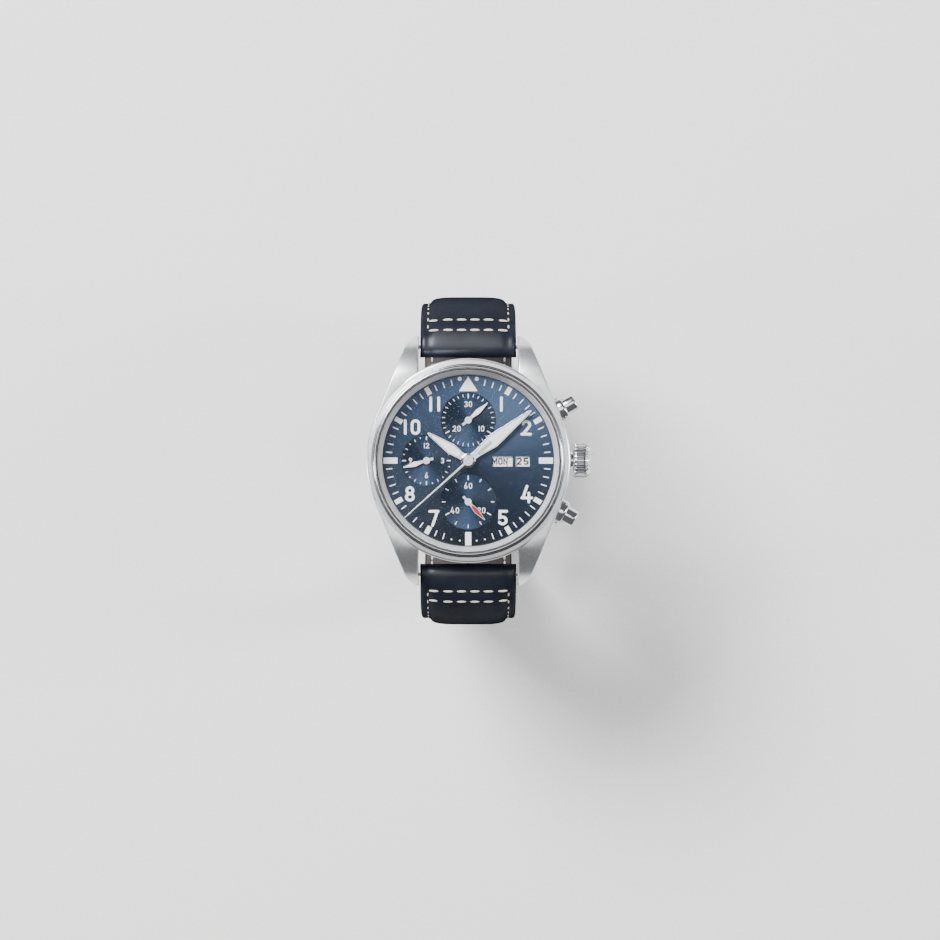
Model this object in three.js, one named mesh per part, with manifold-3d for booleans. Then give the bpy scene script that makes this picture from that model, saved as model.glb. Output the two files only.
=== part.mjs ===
// Pilot's style automatic chronograph wristwatch on a leather strap.
// Millimetres. +Z is the dial's outward normal, +Y points to 12 o'clock, +X to the crown.
// The origin is the centre of the case back's outer face.
import * as THREE from 'three';
import { mergeVertices } from 'three/addons/utils/BufferGeometryUtils.js';
import Module from 'manifold-3d';

// ---- Driving dimensions ----
const CASE_RADIUS = 20.45;
const CASE_BORE = 17.5;
const CASE_BOTTOM = 1.9;
const CASE_TOP = 10.2;
const LUG_GAP = 20.0;
const LUG_TIP = 25.2;
const LUG_ANGLE = THREE.MathUtils.degToRad(22);
const CRYSTAL_RADIUS = 18.1;
const DIAL_BOTTOM = 8.7;
const DIAL_TOP = 9.1;
const CROWN_HEIGHT = 5.6;
const CROWN_START = 20.95;
const CROWN_END = 24.6;
const CROWN_RADIUS = 3.5;
const CROWN_FLUTES = 20;
const PUSHER_ANGLE = THREE.MathUtils.degToRad(29);
const SPRING_BAR_Y = 22.9;
const SPRING_BAR_Z = 2.9;
const STRAP_ROLL = 2.15;
const STRAP_WIDTH = 19.4;
const STRAP_END_WIDTH = 18.0;
const STRAP_HALF_THICKNESS = 1.2;
const STRAP_PAD = 1.2;
const BUCKLE_ROLL = 1.7;
const BUCKLE_BAR_Y = -0.3;
const BUCKLE_Z = -44.0;
const TAIL_Z = -63.0;
const HOLE_RADIUS = 1.1;
const HOLE_PITCH = 6.5;
const HOLE_COUNT = 7;
const MINUTE_COUNTER = [0, 8.1];
const HOUR_COUNTER = [-8.35, 0];
const SMALL_SECONDS = [0, -8.25];
const BARREL = [-7.2, 5.6];
const THIRD_WHEEL = [4.9, -4.6];
const ESCAPE_WHEEL = [-4.6, -9.6];
const BALANCE = [-9.3, -4.2];
const COLUMN_WHEEL = [6.6, 7.7];
const ROUND = 40;
const INNER_ROUND = 28;
const SMALL_ROUND = 16;

// ---- Finishes: colour, roughness, metalness ----
const BRUSHED_STEEL = [0xb9bcc0, 0.35, 1.0];
const POLISHED_STEEL = [0xd3d6da, 0.12, 1.0];
const RHODIUM = [0xc4c6c8, 0.3, 1.0];
const BRASS = [0xc3a35a, 0.3, 1.0];
const BLUE_DIAL = [0x24405c, 0.4, 0.6];
const NICKEL = [0x9fa3a6, 0.4, 1.0];
const WHITE_PRINT = [0xdfe2e2, 0.6, 0.0];
const RED_LACQUER = [0xa8232a, 0.4, 0.1];
const SAPPHIRE = [0xf4f8fb, 0.02, 0.0];
const BLACK_RUBBER = [0x17181a, 0.8, 0.0];
const NAVY_LEATHER = [0x1c212d, 0.55, 0.0];
const BLUED_STEEL = [0x2b3f86, 0.3, 1.0];

const wasm = await Module();
wasm.setup();
const watch = new THREE.Group();

// ---- Building helpers ----
function addPart(name, geometry, finish) {
  const [color, roughness, metalness] = finish;
  const material = new THREE.MeshStandardMaterial({ color, roughness, metalness });
  const mesh = new THREE.Mesh(geometry, material);
  mesh.name = name;
  watch.add(mesh);
}

function signedVolume(geometry) {
  const flat = geometry.index ? geometry.toNonIndexed() : geometry;
  const corners = flat.attributes.position;
  const a = new THREE.Vector3();
  const b = new THREE.Vector3();
  const c = new THREE.Vector3();
  let volume = 0;
  for (let i = 0; i < corners.count; i += 3) {
    a.fromBufferAttribute(corners, i);
    b.fromBufferAttribute(corners, i + 1);
    c.fromBufferAttribute(corners, i + 2);
    volume += a.dot(b.cross(c)) / 6;
  }
  return volume;
}

// A welded copy of a closed geometry with its faces pointing outwards.
function welded(geometry) {
  const bare = geometry.clone();
  bare.deleteAttribute('normal');
  bare.deleteAttribute('uv');
  const merged = mergeVertices(bare, 1e-4);
  const kept = [];
  for (let i = 0; i < merged.index.count; i += 3) {
    const [a, b, c] = [0, 1, 2].map((k) => merged.index.getX(i + k));
    if (a !== b && b !== c && c !== a) kept.push(a, b, c);
  }
  if (signedVolume(merged) < 0) kept.reverse();
  merged.setIndex(kept);
  return merged;
}

function toSolid(geometry) {
  const clean = welded(geometry);
  return new wasm.Manifold(new wasm.Mesh({
    numProp: 3,
    vertProperties: Float32Array.from(clean.attributes.position.array),
    triVerts: Uint32Array.from(clean.index.array),
  }));
}

function toGeometry(solid) {
  const mesh = solid.getMesh();
  const geometry = new THREE.BufferGeometry();
  geometry.setAttribute('position', new THREE.BufferAttribute(mesh.vertProperties, 3));
  geometry.setIndex(new THREE.BufferAttribute(mesh.triVerts, 1));
  return geometry;
}

function joined(...geometries) {
  return toGeometry(geometries.map(toSolid).reduce((whole, next) => whole.add(next)));
}

function cut(geometry, ...tools) {
  return toGeometry(tools.map(toSolid).reduce((whole, tool) => whole.subtract(tool), toSolid(geometry)));
}

function common(geometry, other) {
  return toGeometry(toSolid(geometry).intersect(toSolid(other)));
}

// A turned piece about the Z axis; the profile lists [radius, height] pairs.
function turned(profile, segments = ROUND) {
  const points = profile.map(([r, z]) => new THREE.Vector2(r, z));
  return welded(new THREE.LatheGeometry(points, segments).rotateX(Math.PI / 2));
}

function ring(inner, outer, bottom, top, segments = ROUND) {
  return turned([[inner, bottom], [outer, bottom], [outer, top], [inner, top], [inner, bottom]], segments);
}

function disc([x, y], radius, bottom, top, segments = SMALL_ROUND) {
  const geometry = new THREE.CylinderGeometry(radius, radius, top - bottom, segments);
  return geometry.rotateX(Math.PI / 2).translate(x, y, (bottom + top) / 2);
}

function block(x0, x1, y0, y1, z0, z1) {
  const geometry = new THREE.BoxGeometry(x1 - x0, y1 - y0, z1 - z0);
  return geometry.translate((x0 + x1) / 2, (y0 + y1) / 2, (z0 + z1) / 2);
}

function plate(outline, bottom, top) {
  const shape = new THREE.Shape(outline.map(([x, y]) => new THREE.Vector2(x, y)));
  const geometry = new THREE.ExtrudeGeometry(shape, { depth: top - bottom, bevelEnabled: false });
  return geometry.translate(0, 0, bottom);
}

// A side profile of [y, z] pairs given width along X.
function sidePlate(outline, x0, x1) {
  return plate(outline, x0, x1).applyMatrix4(new THREE.Matrix4().set(
    0, 0, 1, 0,
    1, 0, 0, 0,
    0, 1, 0, 0,
    0, 0, 0, 1,
  ));
}

// A round rod about an axis parallel to X.
function rodAlongX(y, z, radius, x0, x1, segments = SMALL_ROUND) {
  const geometry = new THREE.CylinderGeometry(radius, radius, x1 - x0, segments);
  return geometry.rotateZ(Math.PI / 2).translate((x0 + x1) / 2, y, z);
}

// A piece turned about the Z axis, laid along a radius at the crown's height.
function laidOnRadius(geometry, angle) {
  return geometry.rotateY(Math.PI / 2).translate(0, 0, CROWN_HEIGHT).rotateZ(angle);
}

function arcPoints(radius, fromDegrees, toDegrees, steps) {
  const points = [];
  for (let i = 0; i <= steps; i += 1) {
    const angle = THREE.MathUtils.degToRad(fromDegrees + ((toDegrees - fromDegrees) * i) / steps);
    points.push([radius * Math.cos(angle), radius * Math.sin(angle)]);
  }
  return points;
}

function gear([x, y], tipRadius, teeth, depth, bottom, top) {
  const outline = [];
  for (let tooth = 0; tooth < teeth; tooth += 1) {
    const crest = [
      [0.1, tipRadius - depth],
      [0.35, tipRadius],
      [0.65, tipRadius],
      [0.9, tipRadius - depth],
    ];
    for (const [share, radius] of crest) {
      const angle = ((tooth + share) / teeth) * 2 * Math.PI;
      outline.push([radius * Math.cos(angle), radius * Math.sin(angle)]);
    }
  }
  return plate(outline, bottom, top).translate(x, y, 0);
}

// A hand pointing to 12 before it is turned clockwise; stations are [distance, half width] pairs.
function hand([x, y], clockDegrees, hubRadius, stations, bottom, top, hubTop) {
  const right = stations.map(([r, w]) => [w, r]);
  const left = stations.map(([r, w]) => [-w, r]).reverse();
  const blade = plate([...right, ...left], bottom, top);
  const hub = disc([0, 0], hubRadius, bottom, hubTop, 20);
  const geometry = joined(blade, hub);
  return geometry.rotateZ(-THREE.MathUtils.degToRad(clockDegrees)).translate(x, y, 0);
}

// ---- Case ----
function lugPair(side) {
  const sin = Math.sin(LUG_ANGLE);
  const cos = Math.cos(LUG_ANGLE);
  const touch = [-CASE_RADIUS * cos, CASE_RADIUS * sin];
  const reach = (22.6 - touch[1]) / cos;
  const shoulder = [touch[0] + reach * sin, 22.6];
  const outline = [
    [-12.0, 5.0],
    [-LUG_GAP / 2, 15.0],
    [-LUG_GAP / 2, LUG_TIP - 0.5],
    [-LUG_GAP / 2 - 0.5, LUG_TIP],
    [-LUG_GAP / 2 - 1.3, LUG_TIP - 0.15],
    [-LUG_GAP / 2 - 2.3, LUG_TIP - 1.1],
    shoulder,
    touch,
  ];
  const turnedOutline = outline.map(([x, y]) => [x * side, y]);
  return plate(turnedOutline, 0.2, CASE_TOP);
}

const lugSideProfile = [
  [-15.0, CASE_BOTTOM],
  [-19.5, CASE_BOTTOM],
  [-23.6, 0.7],
  [-24.9, 0.9],
  [-25.4, 2.2],
  [-24.7, 4.6],
  [-23.2, 6.9],
  [-20.8, 8.9],
  [-18.0, 9.9],
  [-15.0, CASE_TOP],
  [15.0, CASE_TOP],
  [18.0, 9.9],
  [20.8, 8.9],
  [23.2, 6.9],
  [24.7, 4.6],
  [25.4, 2.2],
  [24.9, 0.9],
  [23.6, 0.7],
  [19.5, CASE_BOTTOM],
  [15.0, CASE_BOTTOM],
];
const caseBody = turned([
  [0, CASE_BOTTOM],
  [19.9, CASE_BOTTOM],
  [CASE_RADIUS, 2.7],
  [CASE_RADIUS, 9.6],
  [20.1, CASE_TOP],
  [0, CASE_TOP],
]);
const lugPairs = [1, -1].map((side) => lugPair(side));
const allLugs = joined(...lugPairs, ...lugPairs.map((pair) => pair.clone().rotateZ(Math.PI)));
const shapedLugs = common(allLugs, sidePlate(lugSideProfile, -21, 21));
const radialBores = [
  laidOnRadius(disc([0, 0], 2.0, 15, 23), 0),
  laidOnRadius(disc([0, 0], 1.75, 15, 23), PUSHER_ANGLE),
  laidOnRadius(disc([0, 0], 1.75, 15, 23), -PUSHER_ANGLE),
  laidOnRadius(disc([0, 0], 2.65, 20.1, 24, 24), PUSHER_ANGLE),
  laidOnRadius(disc([0, 0], 2.65, 20.1, 24, 24), -PUSHER_ANGLE),
];
const springBarBores = [SPRING_BAR_Y, -SPRING_BAR_Y].map(
  (y) => rodAlongX(y, SPRING_BAR_Z, 0.6, -11.1, 11.1, 12),
);
addPart('case_middle', cut(
  joined(caseBody, shapedLugs),
  disc([0, 0], CASE_BORE, 1, 9.2, ROUND),
  disc([0, 0], 18.35, 9.2, 11, ROUND),
  ...radialBores,
  ...springBarBores,
), BRUSHED_STEEL);

addPart('bezel', turned([
  [18.45, 10.4],
  [19.35, 10.4],
  [19.35, 11.7],
  [19.05, 12.5],
  [18.9, 13.0],
  [18.6, 13.15],
  [18.45, 13.05],
  [18.45, 10.4],
]), POLISHED_STEEL);

addPart('crystal', turned([
  [0, 12.2],
  [CRYSTAL_RADIUS, 12.2],
  [CRYSTAL_RADIUS, 13.2],
  [17.6, 13.5],
  [10.0, 14.2],
  [0, 14.5],
]), SAPPHIRE);
addPart('crystal_gasket', ring(18.2, 18.37, 12.2, 12.95, ROUND), BLACK_RUBBER);
addPart('dial_flange', turned([
  [17.2, 9.35],
  [18.2, 9.35],
  [18.2, 11.95],
  [17.95, 11.95],
  [17.2, 9.35],
]), RHODIUM);

const spannerSlots = [0, 60, 120, 180, 240, 300].map((degrees) => {
  const slot = block(17.9, 19.6, -1.2, 1.2, -0.5, 0.6);
  return slot.rotateZ(THREE.MathUtils.degToRad(degrees + 30));
});
addPart('case_back_ring', cut(turned([
  [14.6, 0],
  [18.5, 0],
  [19.0, 0.5],
  [19.0, 1.5],
  [15.3, 1.5],
  [15.3, 0.45],
  [14.6, 0.45],
  [14.6, 0],
]), ...spannerSlots), BRUSHED_STEEL);
// The display window's outer face is flush with the ring around it.
addPart('case_back_crystal', turned([
  [0, 0],
  [14.5, 0],
  [14.5, 0.55],
  [15.1, 0.55],
  [15.1, 1.4],
  [0, 1.4],
]), SAPPHIRE);
addPart('case_back_gasket', ring(18.0, 18.6, 1.62, 1.8, INNER_ROUND), BLACK_RUBBER);

// ---- Crown with its tube, seal and stem ----
const crownOutline = [];
for (let flute = 0; flute < CROWN_FLUTES; flute += 1) {
  for (const [share, radius] of [[0, CROWN_RADIUS - 0.3], [0.28, CROWN_RADIUS], [0.72, CROWN_RADIUS]]) {
    const angle = ((flute + share) / CROWN_FLUTES) * 2 * Math.PI;
    crownOutline.push([radius * Math.cos(angle), radius * Math.sin(angle)]);
  }
}
const crownEnvelope = turned([
  [0, CROWN_START],
  [3.1, CROWN_START],
  [3.6, CROWN_START + 0.4],
  [3.6, CROWN_END - 0.6],
  [3.0, CROWN_END - 0.1],
  [0, CROWN_END],
], 32);
const crownBlank = common(plate(crownOutline, CROWN_START, CROWN_END), crownEnvelope);
const crownCavity = disc([0, 0], 2.1, CROWN_START - 1, CROWN_START + 1.9, 20);
addPart('crown', laidOnRadius(cut(crownBlank, crownCavity), 0), POLISHED_STEEL);
addPart('crown_tube', laidOnRadius(ring(1.3, 1.75, 17.75, 22.2, 20), 0), POLISHED_STEEL);
addPart('crown_gasket', laidOnRadius(ring(0.75, 1.1, 18.6, 19.3, SMALL_ROUND), 0), BLACK_RUBBER);
addPart('winding_stem', laidOnRadius(turned([
  [0, 12.2],
  [0.55, 12.2],
  [0.55, 13.2],
  [0.35, 13.3],
  [0.35, 13.9],
  [0.55, 14.0],
  [0.55, 22.55],
  [0, 22.55],
], SMALL_ROUND), 0), BLUED_STEEL);

// ---- Chronograph pushers and the levers they work ----
for (const [place, angle] of [['upper', PUSHER_ANGLE], ['lower', -PUSHER_ANGLE]]) {
  addPart(`pusher_tube_${place}`, laidOnRadius(turned([
    [0.95, 17.75],
    [1.6, 17.75],
    [1.6, 20.4],
    [2.5, 20.4],
    [2.5, 22.0],
    [2.35, 22.2],
    [2.0, 22.2],
    [2.0, 20.95],
    [0.95, 20.75],
    [0.95, 17.75],
  ], 24), angle), POLISHED_STEEL);
  addPart(`pusher_cap_${place}`, laidOnRadius(turned([
    [0, 14.9],
    [0.7, 14.9],
    [0.7, 22.0],
    [1.8, 22.0],
    [1.8, 24.4],
    [1.6, 24.6],
    [0, 24.6],
  ], 24), angle), POLISHED_STEEL);
  const side = Math.sign(angle);
  const leverArm = plate([
    [12.1, 6.0 * side],
    [13.1, 6.3 * side],
    [14.65, 0.9 * side],
    [14.65, -0.7 * side],
    [13.9, -0.7 * side],
    [13.4, 1.0 * side],
  ], 5.1, 5.9);
  const leverBoss = disc([12.6, 6.0 * side], 0.85, 4.8, 6.1, 14);
  addPart(`operating_lever_${place}`, joined(leverArm, leverBoss).rotateZ(angle), RHODIUM);
}
const columns = [0, 60, 120, 180, 240, 300].map((degrees) => {
  const angle = THREE.MathUtils.degToRad(degrees);
  return disc([1.0 * Math.cos(angle), 1.0 * Math.sin(angle)], 0.28, 5.0, 6.05, 8);
});
addPart('column_wheel', joined(
  gear([0, 0], 1.6, 12, 0.3, 4.5, 5.1),
  ...columns,
).translate(COLUMN_WHEEL[0], COLUMN_WHEEL[1], 0), BLUED_STEEL);

// ---- Dial with its windows and sunk counters ----
addPart('dial', cut(
  disc([0, 0], 17.15, DIAL_BOTTOM, DIAL_TOP, ROUND),
  disc(MINUTE_COUNTER, 5.55, 9.0, 9.3, INNER_ROUND),
  disc(HOUR_COUNTER, 5.1, 9.0, 9.3, INNER_ROUND),
  disc(SMALL_SECONDS, 5.6, 9.0, 9.3, INNER_ROUND),
  disc([0, 0], 1.35, 8, 10),
  disc(MINUTE_COUNTER, 0.5, 8, 10),
  disc(HOUR_COUNTER, 0.5, 8, 10),
  disc(SMALL_SECONDS, 0.5, 8, 10),
  block(4.8, 8.9, -1.2, 0.9, 8, 10),
  block(9.45, 12.3, -1.2, 0.9, 8, 10),
), BLUE_DIAL);
addPart('day_disc', ring(4.6, 7.75, 8.2, 8.45, INNER_ROUND), WHITE_PRINT);
addPart('date_disc', ring(8.75, 13.6, 8.2, 8.45, INNER_ROUND), WHITE_PRINT);
addPart('calendar_seat', cut(
  ring(4.3, 14.4, 7.7, 7.95, INNER_ROUND),
  disc(MINUTE_COUNTER, 0.5, 7, 9, 12),
  disc(HOUR_COUNTER, 0.5, 7, 9, 12),
  disc(SMALL_SECONDS, 0.5, 7, 9, 12),
), WHITE_PRINT);

// ---- Hands and the arbors that carry them ----
const counterStations = [
  [-1.5, 0.28],
  [0, 0.28],
  [1.2, 0.3],
  [2.6, 0.52],
  [4.6, 0.16],
  [5.05, 0.12],
];
const hourStations = [[0, 0.7], [1.9, 0.78], [4.15, 1.15], [9.3, 0.35], [9.75, 0.15]];
const minuteStations = [[0, 0.7], [2.4, 0.75], [6.3, 1.4], [15.5, 0.35], [16.1, 0.18]];
const sweepStations = [[-5.9, 0.28], [-3, 0.2], [3, 0.2], [17.1, 0.1]];

function counterHand(centre, clockDegrees, share) {
  const stations = counterStations.map(([r, w]) => [r * share, w]);
  return hand(centre, clockDegrees, 0.75, stations, 9.3, 9.5, 9.58);
}

addPart('minute_counter_hand', counterHand(MINUTE_COUNTER, 49, 1), POLISHED_STEEL);
addPart('hour_counter_hand', counterHand(HOUR_COUNTER, 253, 0.95), POLISHED_STEEL);
addPart('small_seconds_hand', counterHand(SMALL_SECONDS, 137.5, 0.97), RED_LACQUER);
addPart('hour_hand', cut(
  hand([0, 0], 304.3, 1.47, hourStations, 9.75, 9.98, 10.05),
  disc([0, 0], 1.15, 9, 11, 20),
), POLISHED_STEEL);
addPart('minute_hand', cut(
  hand([0, 0], 51.5, 1.3, minuteStations, 10.25, 10.48, 10.55),
  disc([0, 0], 0.7, 10, 11, 20),
), POLISHED_STEEL);
addPart('chrono_seconds_hand', hand([0, 0], 228.1, 1.0, sweepStations, 10.8, 10.98, 11.4), POLISHED_STEEL);

addPart('hour_wheel', joined(
  cut(disc([0, 0], 1.1, 8.1, 10.02, 20), disc([0, 0], 0.8, 7, 11, 20)),
  cut(gear([0, 0], 3.6, 18, 0.4, 8.1, 8.5), disc([0, 0], 0.95, 7, 11, 20)),
), BRASS);
addPart('cannon_pinion', ring(0.42, 0.65, 7.3, 10.52, 20), NICKEL);
addPart('centre_wheel', cut(
  joined(gear([0, 0], 3.4, 20, 0.4, 5.2, 5.5), disc([0, 0], 0.65, 5.0, 7.15, 20)),
  disc([0, 0], 0.4, 4, 8, 20),
), BRASS);
addPart('chrono_wheel', joined(
  gear([0, 0], 3.0, 20, 0.35, 4.35, 4.65),
  disc([0, 0], 0.25, 4.3, 10.65, 12),
), BRASS);
addPart('minute_counter_wheel', joined(
  gear(MINUTE_COUNTER, 2.2, 14, 0.35, 5.2, 5.5),
  disc(MINUTE_COUNTER, 0.25, 4.5, 9.2, 12),
), BRASS);
addPart('hour_counter_wheel', joined(
  gear(HOUR_COUNTER, 1.8, 12, 0.35, 7.32, 7.55),
  disc(HOUR_COUNTER, 0.25, 7.32, 9.2, 12),
), BRASS);

// ---- Going train, escapement and balance ----
addPart('fourth_wheel', joined(
  gear(SMALL_SECONDS, 2.8, 18, 0.35, 5.2, 5.5),
  disc(SMALL_SECONDS, 0.25, 4.5, 9.2, 12),
), BRASS);
addPart('third_wheel', joined(
  gear(THIRD_WHEEL, 3.0, 18, 0.35, 5.2, 5.5),
  disc(THIRD_WHEEL, 0.35, 4.4, 6.1, 12),
), BRASS);
addPart('barrel', joined(
  gear(BARREL, 5.0, 24, 0.4, 5.4, 6.0),
  disc(BARREL, 4.5, 4.5, 5.5, 24),
), BRASS);
const escapeOutline = [];
for (let tooth = 0; tooth < 15; tooth += 1) {
  const start = (tooth / 15) * 2 * Math.PI;
  escapeOutline.push([1.25 * Math.cos(start), 1.25 * Math.sin(start)]);
  escapeOutline.push([1.7 * Math.cos(start + 0.1), 1.7 * Math.sin(start + 0.1)]);
}
addPart('escape_wheel', joined(
  plate(escapeOutline, 5.25, 5.5),
  disc([0, 0], 0.25, 4.5, 6.1, 10),
).translate(ESCAPE_WHEEL[0], ESCAPE_WHEEL[1], 0), NICKEL);

// The fork lies on the line from the escape wheel to the balance, built here along +X.
const forkAngle = Math.atan2(BALANCE[1] - ESCAPE_WHEEL[1], BALANCE[0] - ESCAPE_WHEEL[0]);
const forkOutline = [
  [1.0, -2.25], [1.7, -2.25], [2.7, -0.5], [4.9, -0.25], [5.4, -0.45], [5.5, -0.25], [5.1, 0],
  [5.5, 0.25], [5.4, 0.45], [4.9, 0.25], [2.7, 0.5], [1.7, 2.25], [1.0, 2.25], [2.2, 0.4], [2.2, -0.4],
];
addPart('pallet_fork', joined(plate(forkOutline, 5.25, 5.5), disc([3.0, 0], 0.5, 4.6, 6.1, 10))
  .rotateZ(forkAngle).translate(ESCAPE_WHEEL[0], ESCAPE_WHEEL[1], 0), NICKEL);

addPart('balance_wheel', joined(
  ring(3.0, 3.6, 4.5, 4.95, 28),
  block(-3.2, 3.2, -0.35, 0.35, 4.55, 4.8),
  disc([0, 0], 0.3, 4.3, 6.1, 12),
).translate(BALANCE[0], BALANCE[1], 0), BRASS);
const spiral = new THREE.CatmullRomCurve3(Array.from({ length: 43 }, (_, i) => {
  const angle = (i / 14) * 2 * Math.PI;
  const radius = 0.75 + (i / 42) * 1.35;
  return new THREE.Vector3(radius * Math.cos(angle), radius * Math.sin(angle), 5.2);
}));
const wireSection = new THREE.Shape([
  new THREE.Vector2(-0.12, -0.05), new THREE.Vector2(0.12, -0.05),
  new THREE.Vector2(0.12, 0.05), new THREE.Vector2(-0.12, 0.05),
]);
addPart('hairspring', new THREE.ExtrudeGeometry(wireSection, { steps: 42, extrudePath: spiral })
  .translate(BALANCE[0], BALANCE[1], 0.6), BLUED_STEEL);

// ---- Plate, bridges and holding ring ----
addPart('main_plate', cut(
  disc([0, 0], 14.7, 6.35, 7.15, INNER_ROUND),
  disc([0, 0], 0.95, 6, 8),
  disc(MINUTE_COUNTER, 0.5, 6, 8, 12),
  disc(SMALL_SECONDS, 0.5, 6, 8, 12),
), RHODIUM);
addPart('movement_ring', cut(
  ring(15.0, 17.2, 3.3, 8.3, INNER_ROUND),
  laidOnRadius(disc([0, 0], 1.1, 14, 18), 0),
  laidOnRadius(disc([0, 0], 1.1, 14, 18), PUSHER_ANGLE),
  laidOnRadius(disc([0, 0], 1.1, 14, 18), -PUSHER_ANGLE),
), NICKEL);
addPart('barrel_bridge', joined(
  plate([...arcPoints(14.4, 6, 174, 24), [-9.6, 1.5], [9.6, 1.5]], 3.5, 4.1),
  disc([3.6, 4.6], 0.8, 4.0, 6.1, 10),
  disc([-1.0, 12.9], 0.8, 4.0, 6.1, 10),
), RHODIUM);
addPart('train_bridge', joined(
  plate([...arcPoints(14.4, -122, 4, 20), [-3.4, 1.0], [-3.4, -4.8], [-6.8, -8.0]], 3.5, 4.1),
  disc([11.6, -2.6], 0.8, 4.0, 6.1, 10),
  disc([2.4, -12.7], 0.8, 4.0, 6.1, 10),
), RHODIUM);
const cockFoot = [-13.2, -0.9];
const cockAngle = Math.atan2(BALANCE[1] - cockFoot[1], BALANCE[0] - cockFoot[0]);
addPart('balance_cock', joined(
  plate([[-0.8, -1.1], [5.6, -0.9], [6.1, 0], [5.6, 0.9], [-0.8, 1.1]], 3.5, 4.1)
    .rotateZ(cockAngle).translate(cockFoot[0], cockFoot[1], 0),
  disc(cockFoot, 0.7, 4.0, 6.1, 10),
), RHODIUM);

// ---- Self-winding rotor ----
const rotorPlate = plate([...arcPoints(14.2, 185, 355, 20), [3.0, 0.2], [-3.0, 0.2]], 2.25, 2.6);
const rotorRim = plate([...arcPoints(14.3, 185, 355, 20), ...arcPoints(11.6, 355, 185, 16)], 2.0, 3.15);
addPart('rotor', cut(
  joined(rotorPlate, rotorRim, disc([0, 0], 3.2, 2.15, 2.8, 24)),
  disc([0, 0], 1.5, 1, 4, 20),
), RHODIUM);
addPart('rotor_bearing', joined(
  disc([0, 0], 1.2, 2.1, 3.3, 20),
  disc([0, 0], 1.9, 3.05, 3.3, 20),
), POLISHED_STEEL);

// ---- Spring bars ----
for (const [place, side] of [['upper', 1], ['lower', -1]]) {
  addPart(`spring_bar_${place}`, turned([
    [0, -10.9],
    [0.4, -10.9],
    [0.4, -9.4],
    [0.75, -9.3],
    [0.75, 9.3],
    [0.4, 9.4],
    [0.4, 10.9],
    [0, 10.9],
  ], 12).rotateY(Math.PI / 2).translate(0, SPRING_BAR_Y * side, SPRING_BAR_Z), POLISHED_STEEL);
}

// ---- Strap halves: boxes bent along a path in the YZ plane ----
function strapPath(points, end) {
  const at = ([y, z]) => new THREE.Vector3(0, y, z);
  const path = new THREE.CurvePath();
  for (let i = 0; i + 3 < points.length; i += 3) {
    path.add(new THREE.CubicBezierCurve3(...points.slice(i, i + 4).map(at)));
  }
  path.add(new THREE.LineCurve3(at(points[points.length - 1]), at(end)));
  return path;
}

function rollShare(distance, radius) {
  if (distance >= radius) return 1;
  return Math.sqrt(radius ** 2 - (radius - distance) ** 2) / radius;
}

function frameAt(path, distance, side) {
  const share = Math.min(Math.max(distance / path.getLength(), 0), 1);
  const point = path.getPointAt(share);
  const along = path.getTangentAt(share).normalize();
  const outward = new THREE.Vector3(0, -along.z * side, along.y * side);
  return { point, along, outward };
}

// levels(distance) gives the inner, outer-edge and outer-middle heights and the half width.
function bentStrap(path, side, stations, levels) {
  const across = 4;
  const geometry = new THREE.BoxGeometry(1, 1, 1, across, 1, stations.length - 1);
  const position = geometry.attributes.position;
  for (let i = 0; i < position.count; i += 1) {
    const distance = stations[Math.round((position.getZ(i) + 0.5) * (stations.length - 1))];
    const { point, outward } = frameAt(path, distance, side);
    const { inner, edge, middle, halfWidth } = levels(distance);
    const x = position.getX(i) * 2;
    const outer = edge + (middle - edge) * (1 - x ** 2);
    const height = position.getY(i) > 0 ? outer : inner;
    position.setXYZ(i, x * halfWidth, point.y + outward.y * height, point.z + outward.z * height);
  }
  return welded(geometry);
}

function strapLevels(length, distance) {
  const roll = rollShare(distance, STRAP_ROLL);
  const thick = THREE.MathUtils.clamp(1 - (distance - STRAP_ROLL) / 9, 0, 1);
  const pad = STRAP_PAD * THREE.MathUtils.clamp(1 - (distance - 34) / 12, 0, 1);
  const inner = -(STRAP_HALF_THICKNESS + (STRAP_ROLL - STRAP_HALF_THICKNESS) * thick) * roll;
  const edge = STRAP_HALF_THICKNESS * roll;
  const middle = (STRAP_HALF_THICKNESS + Math.max(pad * (1 - thick), 0) + 0.95 * thick) * roll;
  const taper = THREE.MathUtils.clamp(distance / length, 0, 1);
  const halfWidth = (STRAP_WIDTH + (STRAP_END_WIDTH - STRAP_WIDTH) * taper) / 2;
  return { inner, edge, middle, halfWidth };
}

function spacedStations(length, step, endStations) {
  const stations = [0.12, 0.6, 1.3, STRAP_ROLL];
  const last = length - endStations[0];
  const count = Math.ceil((last - STRAP_ROLL) / step);
  for (let i = 1; i <= count; i += 1) {
    stations.push(STRAP_ROLL + ((last - STRAP_ROLL) * i) / count);
  }
  return [...stations, ...endStations.slice(1).map((left) => length - left)];
}

const shortPath = strapPath([
  [20.75, SPRING_BAR_Z], [27, SPRING_BAR_Z], [31.0, -1.5], [31.2, -12],
  [31.6, -29], [29, BUCKLE_Z], [19, BUCKLE_Z],
], [BUCKLE_BAR_Y - BUCKLE_ROLL, BUCKLE_Z]);
const shortLength = shortPath.getLength();
const shortStations = spacedStations(shortLength, 4, [BUCKLE_ROLL, 0.9, 0.4, 0.12]);
const shortBlank = bentStrap(shortPath, 1, shortStations, (distance) => {
  const levels = strapLevels(shortLength, distance);
  const left = shortLength - distance;
  const swell = THREE.MathUtils.clamp(1 - (left - BUCKLE_ROLL) / 3.5, 0, 1);
  const roll = rollShare(left, BUCKLE_ROLL);
  const extra = (BUCKLE_ROLL - STRAP_HALF_THICKNESS) * swell;
  levels.inner = (levels.inner - extra) * roll;
  levels.edge = (levels.edge + extra) * roll;
  levels.middle = (levels.middle + extra) * roll;
  return levels;
});
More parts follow.
